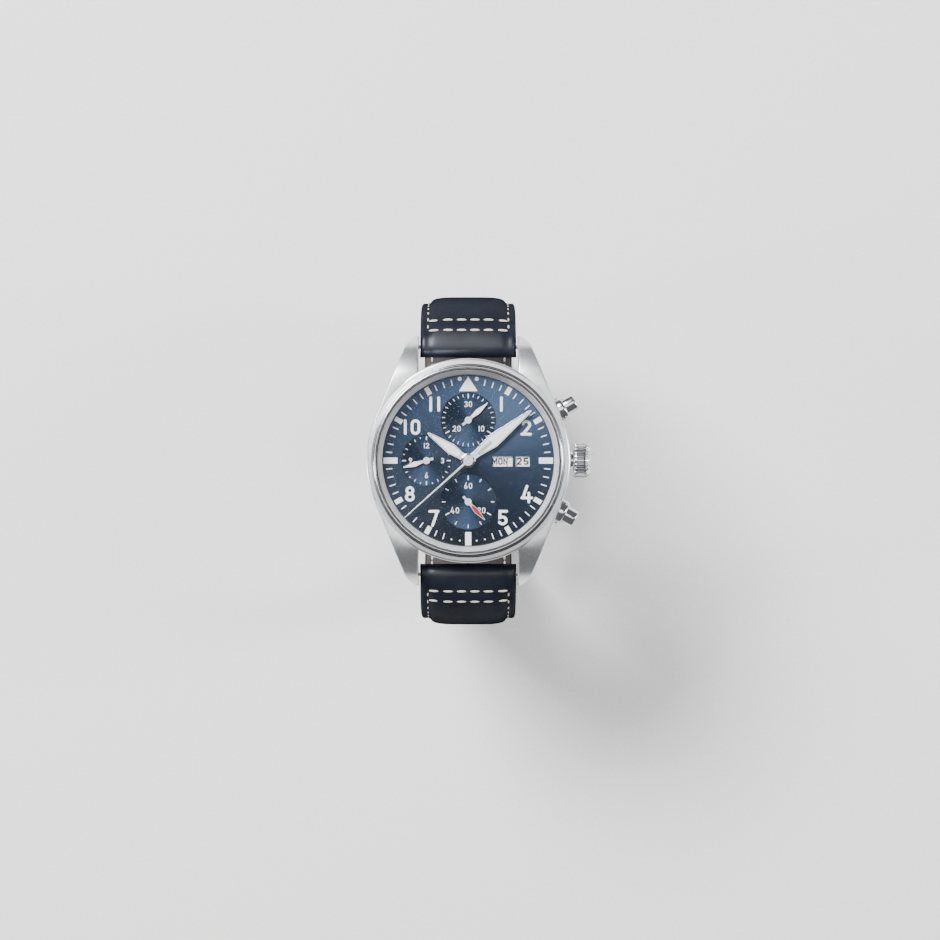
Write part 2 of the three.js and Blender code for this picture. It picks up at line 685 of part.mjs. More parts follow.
addPart('strap_short', cut(
  shortBlank,
  rodAlongX(SPRING_BAR_Y, SPRING_BAR_Z, 1.05, -12, 12, 14),
  rodAlongX(BUCKLE_BAR_Y, BUCKLE_Z, 0.9, -12, 12, 14),
  block(-1.6, 1.6, -3, 2.4, BUCKLE_Z - 3, BUCKLE_Z + 3),
), NAVY_LEATHER);

const longPath = strapPath([
  [-20.75, SPRING_BAR_Z], [-27, SPRING_BAR_Z], [-31.0, -1.5], [-31.2, -12],
  [-31.8, -38], [-27, TAIL_Z], [-8, TAIL_Z],
], [28, TAIL_Z]);
const longLength = longPath.getLength();
const TIP_LENGTH = 9;
const longStations = spacedStations(longLength, 5, [TIP_LENGTH, 7.2, 5.2, 3.2, 1.6, 0.6, 0]);
const longBlank = bentStrap(longPath, -1, longStations, (distance) => {
  const levels = strapLevels(longLength, distance);
  const tip = THREE.MathUtils.clamp((distance - (longLength - TIP_LENGTH)) / TIP_LENGTH, 0, 1);
  levels.halfWidth *= Math.sqrt(1 - 0.93 * tip ** 2);
  return levels;
});
const strapHoles = [];
for (let hole = 0; hole < HOLE_COUNT; hole += 1) {
  const distance = longLength - 22 - hole * HOLE_PITCH;
  const { point, along, outward } = frameAt(longPath, distance, -1);
  const sideways = new THREE.Vector3().crossVectors(along, outward);
  const turn = new THREE.Matrix4().makeBasis(sideways, along, outward.clone().negate());
  const drill = disc([0, 0], HOLE_RADIUS, -4, 4, 10).applyMatrix4(turn);
  strapHoles.push(drill.translate(point.x, point.y, point.z));
}
addPart('strap_long', cut(
  longBlank,
  rodAlongX(-SPRING_BAR_Y, SPRING_BAR_Z, 1.05, -12, 12, 14),
  ...strapHoles,
), NAVY_LEATHER);

// ---- Pin buckle and keepers ----
const BUCKLE_FRONT = BUCKLE_BAR_Y - 13.2;
const buckleOutline = new THREE.Shape();
buckleOutline.moveTo(9.3, 1.2);
buckleOutline.lineTo(9.3, BUCKLE_FRONT + 2.3);
buckleOutline.lineTo(-9.3, BUCKLE_FRONT + 2.3);
buckleOutline.lineTo(-9.3, 1.2);
buckleOutline.lineTo(-11.2, 1.2);
buckleOutline.lineTo(-11.2, BUCKLE_FRONT + 1.6);
buckleOutline.quadraticCurveTo(-11.2, BUCKLE_FRONT, -9.4, BUCKLE_FRONT);
buckleOutline.lineTo(9.4, BUCKLE_FRONT);
buckleOutline.quadraticCurveTo(11.2, BUCKLE_FRONT, 11.2, BUCKLE_FRONT + 1.6);
buckleOutline.lineTo(11.2, 1.2);
buckleOutline.closePath();
const buckleBlank = new THREE.ExtrudeGeometry(buckleOutline, {
  depth: 1.4, bevelThickness: 0.4, bevelSize: 0.3, bevelOffset: -0.3, bevelSegments: 1, curveSegments: 4,
}).translate(0, 0, BUCKLE_Z - 0.7);
addPart('buckle_frame', cut(
  buckleBlank,
  rodAlongX(BUCKLE_BAR_Y, BUCKLE_Z, 0.75, -10.6, 10.6, 12),
), POLISHED_STEEL);
addPart('buckle_bar', rodAlongX(BUCKLE_BAR_Y, BUCKLE_Z, 0.6, -10.4, 10.4, 12), POLISHED_STEEL);
addPart('buckle_tongue', cut(
  joined(
    rodAlongX(BUCKLE_BAR_Y, BUCKLE_Z, 1.45, -1.2, 1.2, 16),
    sidePlate([
      [-1.2, BUCKLE_Z + 0.4], [-1.2, BUCKLE_Z - 1.0], [-9.5, BUCKLE_Z - 2.6],
      [-14.2, BUCKLE_Z - 2.5], [-14.3, BUCKLE_Z - 1.9], [-14.0, BUCKLE_Z - 1.45],
      [-10.4, BUCKLE_Z - 1.45], [-6.0, BUCKLE_Z - 0.6],
    ], -0.9, 0.9),
  ),
  rodAlongX(BUCKLE_BAR_Y, BUCKLE_Z, 0.85, -2, 2, 14),
), POLISHED_STEEL);
for (const [name, start] of [['fixed_keeper', 3.6], ['free_keeper', 8.6]]) {
  const hoop = block(-10.7, 10.7, start, start + 3.6, BUCKLE_Z - 5.2, BUCKLE_Z + 2.6);
  const passage = block(-9.55, 9.55, start - 1, start + 5, BUCKLE_Z - 4.1, BUCKLE_Z + 1.5);
  addPart(name, cut(hoop, passage), NAVY_LEATHER);
}

export default watch;
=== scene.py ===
import math

import bmesh
import bpy
from mathutils import Matrix, Vector
from mathutils.kdtree import KDTree


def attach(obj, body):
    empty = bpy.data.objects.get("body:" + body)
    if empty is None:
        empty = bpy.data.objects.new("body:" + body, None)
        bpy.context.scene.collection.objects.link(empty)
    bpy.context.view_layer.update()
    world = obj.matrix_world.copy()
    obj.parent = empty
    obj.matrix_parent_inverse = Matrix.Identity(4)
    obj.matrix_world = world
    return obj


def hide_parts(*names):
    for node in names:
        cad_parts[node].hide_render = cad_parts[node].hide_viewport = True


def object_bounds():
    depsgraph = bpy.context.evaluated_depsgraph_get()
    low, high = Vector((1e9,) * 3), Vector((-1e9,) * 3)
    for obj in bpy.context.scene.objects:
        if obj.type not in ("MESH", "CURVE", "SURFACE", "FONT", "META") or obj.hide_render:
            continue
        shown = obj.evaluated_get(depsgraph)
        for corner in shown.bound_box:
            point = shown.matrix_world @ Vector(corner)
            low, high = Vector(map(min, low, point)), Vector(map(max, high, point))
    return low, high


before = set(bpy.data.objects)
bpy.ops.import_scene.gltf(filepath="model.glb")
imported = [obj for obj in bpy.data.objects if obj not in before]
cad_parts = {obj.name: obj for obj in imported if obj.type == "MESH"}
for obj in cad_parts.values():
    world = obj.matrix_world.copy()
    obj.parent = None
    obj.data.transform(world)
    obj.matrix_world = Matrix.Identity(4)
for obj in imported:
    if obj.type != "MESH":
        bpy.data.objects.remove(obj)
CAD_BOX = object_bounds()
MM = 0.001

# ---- Dimensions in millimetres, as in the CAD frame ----
CASE_RADIUS = 20.45
LUG_ANGLE = math.radians(22)
CROWN_HEIGHT = 5.6
PUSHER_ANGLE = 29.0
DIAL_TOP = 9.1
COUNTER_TOP = 9.0
MINUTE_COUNTER = (0.0, 8.1, 5.55)
HOUR_COUNTER = (-8.35, 0.0, 5.1)
SMALL_SECONDS = (0.0, -8.25, 5.6)
SPRING_BAR_Y = 22.9
SPRING_BAR_Z = 2.9
BUCKLE_BAR_Y = -0.3
BUCKLE_Z = -44.0
TAIL_Z = -63.0

# ---- Camera: straight above the dial, far away, with 12 o'clock up ----
CAMERA_FIELD = 188.0
CAMERA_DISTANCE = 900.0
CAMERA_X = 0.36
CAMERA_Y = -1.88
camera_data = bpy.data.cameras.new("camera")
camera = bpy.data.objects.new("camera", camera_data)
bpy.context.scene.collection.objects.link(camera)
camera_data.sensor_width = 36.0
camera_data.lens = 36.0 * (CAMERA_DISTANCE - DIAL_TOP) / CAMERA_FIELD
camera.location = (CAMERA_X * MM, CAMERA_Y * MM, CAMERA_DISTANCE * MM)
camera_data.clip_end = 20.0
bpy.context.scene.camera = camera


# ---- Node helpers for materials ----
class Nodes:
    """A material under construction, with short ways to add and wire its nodes."""

    def __init__(self, name):
        self.material = bpy.data.materials.new(name)
        self.material.use_nodes = True
        self.tree = self.material.node_tree
        self.shader = self.tree.nodes["Principled BSDF"]

    def add(self, kind, **values):
        node = self.tree.nodes.new(kind)
        for key, value in values.items():
            if hasattr(node, key):
                setattr(node, key, value)
            else:
                node.inputs[key].default_value = value
        return node

    def wire(self, output, target):
        self.tree.links.new(output, target)

    def math(self, operation, first, second=None):
        node = self.add("ShaderNodeMath", operation=operation)
        for i, value in enumerate((first, second)):
            if value is None:
                continue
            if isinstance(value, (int, float)):
                node.inputs[i].default_value = value
            else:
                self.wire(value, node.inputs[i])
        return node.outputs[0]

    def place(self):
        return self.add("ShaderNodeTexCoord").outputs["Object"]

    def stretched(self, scale):
        node = self.add("ShaderNodeMapping")
        node.inputs["Scale"].default_value = scale
        self.wire(self.place(), node.inputs["Vector"])
        return node.outputs[0]

    def noise(self, vector, scale, detail=3.0, roughness=0.55):
        node = self.add("ShaderNodeTexNoise", Scale=scale, Detail=detail, Roughness=roughness)
        self.wire(vector, node.inputs["Vector"])
        return node.outputs["Fac"]

    def ramp(self, factor, stops):
        node = self.add("ShaderNodeValToRGB")
        elements = node.color_ramp.elements
        while len(elements) < len(stops):
            elements.new(0.5)
        for element, (position, colour) in zip(elements, stops):
            element.position = position
            element.color = (*colour, 1.0) if len(colour) == 3 else colour
        self.wire(factor, node.inputs["Fac"])
        return node.outputs["Color"]

    def span(self, factor, low, high):
        node = self.add("ShaderNodeMapRange")
        node.inputs["To Min"].default_value = low
        node.inputs["To Max"].default_value = high
        self.wire(factor, node.inputs["Value"])
        return node.outputs[0]

    def bump(self, height, strength, distance):
        node = self.add("ShaderNodeBump", Strength=strength, Distance=distance * MM)
        self.wire(height, node.inputs["Height"])
        self.wire(node.outputs[0], self.shader.inputs["Normal"])
        return node

    def polar(self, across=1.0, around=1.0):
        """Radius and angle about the object's Z axis, as a vector for textures."""
        split = self.add("ShaderNodeSeparateXYZ")
        self.wire(self.place(), split.inputs[0])
        x, y, z = split.outputs
        radius = self.math(
            "SQRT", self.math("ADD", self.math("MULTIPLY", x, x), self.math("MULTIPLY", y, y))
        )
        angle = self.math("ARCTAN2", y, x)
        joined = self.add("ShaderNodeCombineXYZ")
        self.wire(self.math("MULTIPLY", radius, across), joined.inputs[0])
        self.wire(self.math("MULTIPLY", angle, around), joined.inputs[1])
        self.wire(self.math("MULTIPLY", z, across), joined.inputs[2])
        return joined.outputs[0]

    def set(self, **values):
        for key, value in values.items():
            self.shader.inputs[key.replace("_", " ")].default_value = value
        return self


def polished(name, colour=(0.66, 0.67, 0.69), roughness=0.09):
    """Mirror-like steel with a faint haze of fine wiping marks."""
    m = Nodes(name)
    marks = m.noise(m.place(), 900.0, 2.0)
    m.wire(m.span(marks, roughness * 0.7, roughness * 1.5), m.shader.inputs["Roughness"])
    m.bump(m.noise(m.place(), 260.0, 2.0), 0.04, 0.02)
    m.set(Base_Color=(*colour, 1.0), Metallic=1.0)
    return m.material


def brushed(name, scale, colour=(0.60, 0.61, 0.63), roughness=0.3, depth=0.22):
    """Satin steel: noise drawn out along the brushing direction by the three scales."""
    m = Nodes(name)
    grain = m.noise(m.stretched(scale), 1.0, 4.0, 0.6)
    tone = m.ramp(
        grain, [(0.3, tuple(c * 0.82 for c in colour)), (0.7, tuple(min(1, c * 1.1) for c in colour))]
    )
    m.wire(tone, m.shader.inputs["Base Color"])
    m.wire(m.span(grain, roughness * 0.8, roughness * 1.3), m.shader.inputs["Roughness"])
    m.bump(grain, depth, 0.012)
    m.set(Metallic=1.0)
    return m.material


def circular(name, colour, roughness=0.3, rings=True, depth=0.2):
    """Metal grained in rings about the axis, or in rays from it."""
    m = Nodes(name)
    vector = m.polar(22000.0, 6.0) if rings else m.polar(200.0, 260.0)
    grain = m.noise(vector, 1.0, 3.0, 0.6)
    tone = m.ramp(
        grain, [(0.3, tuple(c * 0.84 for c in colour)), (0.7, tuple(min(1, c * 1.1) for c in colour))]
    )
    m.wire(tone, m.shader.inputs["Base Color"])
    m.wire(m.span(grain, roughness * 0.8, roughness * 1.3), m.shader.inputs["Roughness"])
    m.bump(grain, depth, 0.01)
    m.set(Metallic=1.0, Anisotropic=0.5, Anisotropic_Rotation=0.25 if rings else 0.0)
    tangent = m.add("ShaderNodeTangent", direction_type="RADIAL", axis="Z")
    m.wire(tangent.outputs[0], m.shader.inputs["Tangent"])
    return m.material


def sunray(name, colour, painted_sheen_stops, spread=0.6):
    """Blue lacquer over a brushed plate: fine rays from the centre, with painted sheen that makes some
    sectors brighter than others.

    The painted sheen stops are (share of a turn from 9 o'clock, anticlockwise; brightness) pairs.
    """
    m = Nodes(name)
    split = m.add("ShaderNodeSeparateXYZ")
    m.wire(m.place(), split.inputs[0])
    turn = m.math(
        "ADD", m.math("DIVIDE", m.math("ARCTAN2", split.outputs[1], split.outputs[0]), 2 * math.pi), 0.5
    )
    # Painted sheen: the colour brightens and darkens by angle round the centre, standing in for the brushed
    # plate's highlights.
    painted_sheen = m.ramp(turn, [(share, tuple(c * level for c in colour)) for share, level in painted_sheen_stops])
    rays = m.noise(m.polar(60.0, 95.0), 1.0, 2.0, 0.7)
    fine = m.noise(m.polar(30.0, 420.0), 1.0, 1.0, 0.6)
    both = m.math("ADD", m.math("MULTIPLY", rays, 0.6), m.math("MULTIPLY", fine, 0.4))
    tone = m.add("ShaderNodeMixRGB", blend_type="MULTIPLY")
    tone.inputs["Fac"].default_value = 1.0
    m.wire(painted_sheen, tone.inputs["Color1"])
    m.wire(m.ramp(both, [(0.3, (0.80, 0.80, 0.80)), (0.7, (1.0, 1.0, 1.0))]), tone.inputs["Color2"])
    m.wire(tone.outputs[0], m.shader.inputs["Base Color"])
    m.set(Metallic=0.7, Anisotropic=spread, Roughness=0.38)
    tangent = m.add("ShaderNodeTangent", direction_type="RADIAL", axis="Z")
    m.wire(tangent.outputs[0], m.shader.inputs["Tangent"])
    return m.material


def lacquer(name, colour, roughness=0.45, grain=0.05):
    """Paint or print with a slight mottle."""
    m = Nodes(name)
    mottle = m.noise(m.place(), 1500.0, 3.0)
    tone = m.ramp(mottle, [(0.3, tuple(c * 0.93 for c in colour)), (0.7, colour)])
    m.wire(tone, m.shader.inputs["Base Color"])
    m.wire(m.span(mottle, roughness * 0.9, roughness * 1.15), m.shader.inputs["Roughness"])
    m.bump(mottle, grain, 0.01)
    return m.material


def leather(name, dark, light, roughness=0.42, pores=0.35, gloss=0.4):
    """Smooth calfskin: small creases and fine pores, with a broad darker and lighter mottle."""
    m = Nodes(name)
    warp = m.add("ShaderNodeTexNoise", Scale=220.0, Detail=2.0)
    m.wire(m.place(), warp.inputs["Vector"])
    bent = m.add("ShaderNodeMixRGB", blend_type="MIX")
    bent.inputs["Fac"].default_value = 0.0012
    m.wire(m.place(), bent.inputs["Color1"])
    m.wire(warp.outputs["Color"], bent.inputs["Color2"])
    cells = m.add("ShaderNodeTexVoronoi", feature="DISTANCE_TO_EDGE", Scale=2400.0)
    m.wire(bent.outputs[0], cells.inputs["Vector"])
    crease = m.span(cells.outputs["Distance"], 0.0, 1.0)
    soft = m.math("MINIMUM", m.math("MULTIPLY", crease, 6.0), 1.0)
    wide = m.noise(m.place(), 130.0, 4.0, 0.6)
    fine = m.noise(m.place(), 4200.0, 2.0)
    height = m.math(
        "ADD", m.math("MULTIPLY", soft, 0.6),
        m.math("ADD", m.math("MULTIPLY", wide, 0.9), m.math("MULTIPLY", fine, 0.25))
    )
    m.wire(m.ramp(wide, [(0.3, dark), (0.72, light)]), m.shader.inputs["Base Color"])
    m.wire(
        m.span(
            m.math("ADD", m.math("MULTIPLY", fine, 0.5), m.math("MULTIPLY", wide, 0.5)), roughness * 0.85,
            roughness * 1.25
        ),
        m.shader.inputs["Roughness"]
    )
    m.bump(height, pores, 0.05)
    facing = m.add("ShaderNodeLayerWeight", Blend=0.5)
    front = m.math("POWER", m.math("SUBTRACT", 1.0, facing.outputs["Facing"]), 4.0)
    m.wire(m.math("MULTIPLY", front, gloss), m.shader.inputs["Specular IOR Level"])
    return m.material


def thread(name, colour):
    """Waxed linen thread with twisted plies."""
    m = Nodes(name)
    wave = m.add(
        "ShaderNodeTexWave", Scale=1400.0, Distortion=1.5, wave_type="BANDS", bands_direction="DIAGONAL"
    )
    m.wire(m.place(), wave.inputs["Vector"])
    tone = m.ramp(wave.outputs["Fac"], [(0.2, tuple(c * 0.7 for c in colour)), (0.7, colour)])
    m.wire(tone, m.shader.inputs["Base Color"])
    m.bump(wave.outputs["Fac"], 0.4, 0.04)
    m.set(Roughness=0.7)
    return m.material


def clear(name, edge=0.12):
    """Sapphire with a coating: almost unseen face on, brighter at a grazing angle."""
    m = Nodes(name)
    facing = m.add("ShaderNodeLayerWeight", Blend=0.25)
    m.wire(m.span(facing.outputs["Facing"], 0.02, edge), m.shader.inputs["Alpha"])
    m.set(Base_Color=(0.02, 0.025, 0.03, 1.0), Roughness=0.03, Specular_IOR_Level=0.5)
    return m.material


def stripes(name, colour):
    """Rhodium plate with broad decorative stripes."""
    m = Nodes(name)
    wave = m.add(
        "ShaderNodeTexWave", Scale=110.0, wave_type="BANDS", bands_direction="X", wave_profile="SAW"
    )
    m.wire(m.place(), wave.inputs["Vector"])
    grain = m.noise(m.stretched((400.0, 9000.0, 400.0)), 1.0, 2.0)
    height = m.math("ADD", m.math("MULTIPLY", wave.outputs["Fac"], 0.8), m.math("MULTIPLY", grain, 0.15))
    m.wire(
        m.ramp(wave.outputs["Fac"], [(0.0, tuple(c * 0.78 for c in colour)), (1.0, colour)]),
        m.shader.inputs["Base Color"]
    )
    m.wire(m.span(grain, 0.2, 0.34), m.shader.inputs["Roughness"])
    m.bump(height, 0.25, 0.06)
    m.set(Metallic=1.0)
    return m.material


STEEL = polished("polished_steel", (0.62, 0.63, 0.65), 0.12)
SATIN_HAND = polished("satin_hand", (0.72, 0.73, 0.74), 0.28)
# Polished steel painted nearly black: a painted dark reflection for the bezel's outer slope.
STEEL_PAINTED_DARK_REFLECTION = polished("polished_painted_dark_reflection", (0.045, 0.047, 0.05), 0.12)
BRUSHED_CASE = circular("satin_case", (0.74, 0.75, 0.765), 0.3)
BRUSHED_LUG = brushed("satin_lug", (6000.0, 200.0, 6000.0), (0.74, 0.75, 0.765), 0.32, 0.16)
SAPPHIRE = clear("sapphire")
RUBBER = lacquer("seal_rubber", (0.012, 0.012, 0.013), 0.75, 0.2)
# Painted sheen round the dial: one side painted brighter and the opposite side darker, and two painted
# bright sectors in each counter.
PAINTED_SHEEN_STEPS = 16
turn_shares = [step / PAINTED_SHEEN_STEPS for step in range(PAINTED_SHEEN_STEPS + 1)]
PAINTED_HIGHLIGHT_SHARE = 0.73
DIAL_PAINTED_SHEEN = [
    (share, 0.6 + 0.45 * math.cos(2.0 * math.pi * (share - PAINTED_HIGHLIGHT_SHARE))) for share in turn_shares
]
COUNTER_PAINTED_SHEEN = [(share, 0.38 + 0.62 * math.sin(2.0 * math.pi * share) ** 6) for share in turn_shares]
DIAL_BLUE = sunray("dial_blue", (0.042, 0.073, 0.130), DIAL_PAINTED_SHEEN)
COUNTER_BLUE = sunray("counter_blue", (0.030, 0.056, 0.106), COUNTER_PAINTED_SHEEN)
FLANGE_SILVER = lacquer("flange_silver", (0.62, 0.635, 0.65), 0.4, 0.02)
RHODIUM = stripes("striped_rhodium", (0.60, 0.60, 0.60))
NICKEL = circular("grained_nickel", (0.48, 0.48, 0.47), 0.35)
BRASS = circular("gilt_brass", (0.70, 0.50, 0.22), 0.28)
WHITE = lacquer("calendar_white", (0.95, 0.955, 0.96), 0.5)
PRINT = lacquer("print_white", (0.90, 0.91, 0.90), 0.55)
INK = lacquer("print_dark", (0.015, 0.02, 0.03), 0.5)
LUME = lacquer("luminous_white", (0.92, 0.93, 0.90), 0.75, 0.1)
RED = lacquer("hand_red", (0.36, 0.002, 0.004), 0.5)
BLUED = polished("blued_steel", (0.05, 0.09, 0.32), 0.12)
LEATHER = leather("navy_calf", (0.0045, 0.0060, 0.0105), (0.0105, 0.0135, 0.022), 0.36, 0.16)
LINING = leather("lining_calf", (0.045, 0.040, 0.038), (0.075, 0.066, 0.060), 0.6, 0.25)
THREAD = thread("cream_thread", (0.66, 0.61, 0.50))


# ---- Mesh helpers, in millimetres ----
def piece(name, verts, faces, material, body, slot, smooth=32.0):
    mesh = bpy.data.meshes.new(name)
    mesh.from_pydata([Vector(v) * MM for v in verts], [], faces)
    return finished(name, mesh, material, body, smooth)


def finished(name, mesh, material, body, smooth=32.0, weld=True):
    bm = bmesh.new()
    bm.from_mesh(mesh)
    if weld:
        bmesh.ops.remove_doubles(bm, verts=bm.verts, dist=1e-7)
    bmesh.ops.recalc_face_normals(bm, faces=bm.faces)
    bm.to_mesh(mesh)
    bm.free()
    mesh.shade_smooth()
    mesh.set_sharp_from_angle(angle=math.radians(smooth))
    obj = bpy.data.objects.new(name, mesh)
    bpy.context.scene.collection.objects.link(obj)
    mesh.materials.clear()
    mesh.materials.append(material)
    if body:
        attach(obj, body)
    return obj


def bevelled(obj, width, segments=3, angle=35.0):
    modifier = obj.modifiers.new("bevel", "BEVEL")
    modifier.width = width * MM
    modifier.segments = segments
    modifier.limit_method = "ANGLE"
    modifier.angle_limit = math.radians(angle)
    modifier.harden_normals = True
    return obj


def lathe(profile, segments=192):
    """A closed profile of (radius, height) turned about Z. Points on the axis become poles."""
    verts, faces, rings = [], [], []
    for radius, height in profile:
        if radius < 1e-6:
            rings.append([len(verts)] * segments)
            verts.append((0.0, 0.0, height))
            continue
        rings.append(list(range(len(verts), len(verts) + segments)))
        for i in range(segments):
            angle = 2 * math.pi * i / segments
            verts.append((radius * math.cos(angle), radius * math.sin(angle), height))
    pairs = list(zip(rings, rings[1:]))
    if profile[0][0] > 1e-6:
        pairs.append((rings[-1], rings[0]))
    for low, high in pairs:
        for i in range(segments):
            j = (i + 1) % segments
            corners = [low[i], low[j], high[j], high[i]]
            face = [v for k, v in enumerate(corners) if v not in corners[:k]]
            if len(face) > 2:
                faces.append(face)
    return verts, faces


def loft(sections, closed=False):
    """Skin over equal closed sections, with flat ends unless the row closes on itself."""
    count = len(sections[0])
    verts = [v for section in sections for v in section]
    faces = []
    rows = list(range(len(sections)))
    steps = list(zip(rows, rows[1:])) + ([(rows[-1], 0)] if closed else [])
    for a, b in steps:
        for i in range(count):
            j = (i + 1) % count
            faces.append([a * count + i, a * count + j, b * count + j, b * count + i])
    if not closed:
        faces.append(list(range(count))[::-1])
        faces.append([rows[-1] * count + i for i in range(count)])
    return verts, faces


def prism(outline, bottom, top):
    count = len(outline)
    verts = [(x, y, bottom) for x, y in outline] + [(x, y, top) for x, y in outline]
    faces = [[i, (i + 1) % count, count + (i + 1) % count, count + i] for i in range(count)]
    faces.append(list(range(count))[::-1])
    faces.append([count + i for i in range(count)])
    return verts, faces


def clamp(value, low=0.0, high=1.0):
    return min(max(value, low), high)


def ease(value):
    value = clamp(value)
    return value * value * (3 - 2 * value)


def moved(verts, matrix):
    return [tuple(matrix @ Vector(v)) for v in verts]


def merge(*parts):
    verts, faces = [], []
    for part_verts, part_faces in parts:
        offset = len(verts)
        verts += list(part_verts)
        faces += [[offset + i for i in face] for face in part_faces]
    return verts, faces


def on_radius(shape, degrees):
    """A shape turned about Z, laid along a radius at the crown's height."""
    verts, faces = shape
    lay = Matrix.Rotation(math.pi / 2, 4, "Y")
    turn = Matrix.Rotation(math.radians(degrees), 4, "Z")
    lift = Matrix.Translation((0, 0, CROWN_HEIGHT))
    return moved(verts, turn @ lift @ lay), faces


def circle(x, y, radius, count=96):
    return [
        (x + radius * math.cos(2 * math.pi * i / count), y + radius * math.sin(2 * math.pi * i / count))
        for i in range(count)
    ]


def arc(x, y, rx, ry, start, end, count=14):
    return [
        (x + rx * math.cos(math.radians(start + (end - start) * i / count)),
         y + ry * math.sin(math.radians(start + (end - start) * i / count)))
        for i in range(count + 1)
    ]


def cut_mesh(shape, tools):
    """The shape with each tool taken away, as a mesh in metres."""
    def temporary(data):
        mesh = bpy.data.meshes.new("temporary")
        mesh.from_pydata([Vector(v) * MM for v in data[0]], [], data[1])
        bm = bmesh.new()
        bm.from_mesh(mesh)
        bmesh.ops.recalc_face_normals(bm, faces=bm.faces)
        bm.to_mesh(mesh)
        bm.free()
        obj = bpy.data.objects.new("temporary", mesh)
        bpy.context.scene.collection.objects.link(obj)
        return obj

    base = temporary(shape)
    cutters = [temporary(tool) for tool in tools]
    for cutter in cutters:
        modifier = base.modifiers.new("cut", "BOOLEAN")
        modifier.operation = "DIFFERENCE"
        modifier.solver = "EXACT"
        modifier.object = cutter
    bpy.context.view_layer.update()
    evaluated = base.evaluated_get(bpy.context.evaluated_depsgraph_get())
    result = bpy.data.meshes.new_from_object(evaluated)
    for obj in [base, *cutters]:
        bpy.data.objects.remove(obj)
    return result


# ---- Case ----
body_profile = [
    (17.6, 1.95), (19.75, 1.95), (20.0, 2.1), (20.35, 2.6), (20.43, 2.8), (20.45, 3.1),
    (20.45, 9.65), (20.43, 9.85), (20.36, 10.0), (20.26, 10.11), (20.14, 10.17), (20.0, 10.19),
    (18.4, 10.19), (18.4, 9.25), (17.6, 9.25),
]
case_shape = lathe(body_profile, 256)


def smooth_table(table, y):
    """Catmull-Rom reading of a table of (y, value)."""
    if y <= table[0][0]:
        return table[0][1]
    for i in range(len(table) - 1):
        (y0, a), (y1, b) = table[i], table[i + 1]
        if y <= y1:
            before = table[i - 1] if i else (2 * y0 - y1, 2 * a - b)
            after = table[i + 2] if i + 2 < len(table) else (2 * y1 - y0, 2 * b - a)
            t = (y - y0) / (y1 - y0)
            m0 = (b - before[1]) / (y1 - before[0]) * (y1 - y0)
            m1 = (after[1] - a) / (after[0] - y0) * (y1 - y0)
            t2, t3 = t * t, t ** 3
            return (
                2 * t3 - 3 * t2 + 1
            ) * a + (t3 - 2 * t2 + t) * m0 + (3 * t2 - 2 * t3) * b + (t3 - t2) * m1
    return table[-1][1]


LUG_TOP = [
    (6, 10.195), (14, 10.195), (16, 10.15), (18, 9.85), (19.5, 9.3), (21, 8.5), (22.5, 7.4), (23.6, 6.2),
    (24.4, 5.0), (24.9, 3.9), (25.15, 2.9)
]
LUG_BOTTOM = [
    (6, 1.95), (15, 1.95), (19, 1.9), (21.5, 1.35), (23.2, 0.95), (24.3, 0.95), (24.9, 1.3), (25.15, 1.9)
]


def lug_outer(y):
    touch = (CASE_RADIUS * math.cos(LUG_ANGLE), CASE_RADIUS * math.sin(LUG_ANGLE))
    if y < 22.6:
        return touch[0] - (y - touch[1]) * math.tan(LUG_ANGLE)
    edge = touch[0] - (22.6 - touch[1]) * math.tan(LUG_ANGLE)
    return smooth_table(
        [
            (21.6, edge + 0.40), (22.6, edge), (23.5, edge - 0.55), (24.2, edge - 1.15), (24.7, edge - 1.8),
            (25.15, 10.55)
        ],
        y
    )


def rounded_section(x0, x1, z0, z1, y, outer_corner, inner_corner, count=6):
    points = []
    limit = min((x1 - x0) * 0.45, (z1 - z0) * 0.45)
    for side, level, start in ((1, 1, 0), (-1, 1, 90), (-1, -1, 180), (1, -1, 270)):
        corner = min(outer_corner if side > 0 else inner_corner, limit)
        cx = x1 - corner if side > 0 else x0 + corner
        cz = z1 - corner if level > 0 else z0 + corner
        for i in range(count + 1):
            angle = math.radians(start + 90 * i / count)
            points.append((cx + corner * math.cos(angle), y, cz + corner * math.sin(angle)))
    return points


def lug_shape(mirror_x, mirror_y):
    stations = [8 + i * 0.5 for i in range(28)] + [
        22 + i * 0.15 for i in range(1, 20)
    ] + [24.95, 25.05, 25.13]
    sections = []
    for y in stations:
        inner = 10.0 if y > 17.4 else math.sqrt(20.06 ** 2 - y ** 2)
        outer = max(lug_outer(y), inner + 0.3)
        inner_corner = 0.02 + 0.3 * ease((y - 17.4) / 1.0)
        section = rounded_section(
            inner, outer, smooth_table(LUG_BOTTOM, y), smooth_table(LUG_TOP, y), y, 0.32, inner_corner
        )
        sections.append([(x * mirror_x, py * mirror_y, z) for x, py, z in section])
    return loft(sections)


bores = [on_radius(lathe([(0, 17), (1.71, 17), (1.71, 21), (0, 21)], 64), 0)]
bores += [
    on_radius(lathe([(0, 17), (1.56, 17), (1.56, 21), (0, 21)], 64), turn)
    for turn in (PUSHER_ANGLE, -PUSHER_ANGLE)
]
finished("case_body", cut_mesh(case_shape, bores), BRUSHED_CASE, "case")
lug_meshes = merge(*[lug_shape(mx, my) for mx in (1, -1) for my in (1, -1)])
lug_mesh = cut_mesh(lug_meshes, [prism(circle(0, 0, 18.5, 256), 0, 12)])
lugs = finished("case_lugs", lug_mesh, BRUSHED_LUG, "case", 40.0)
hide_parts("case_middle")

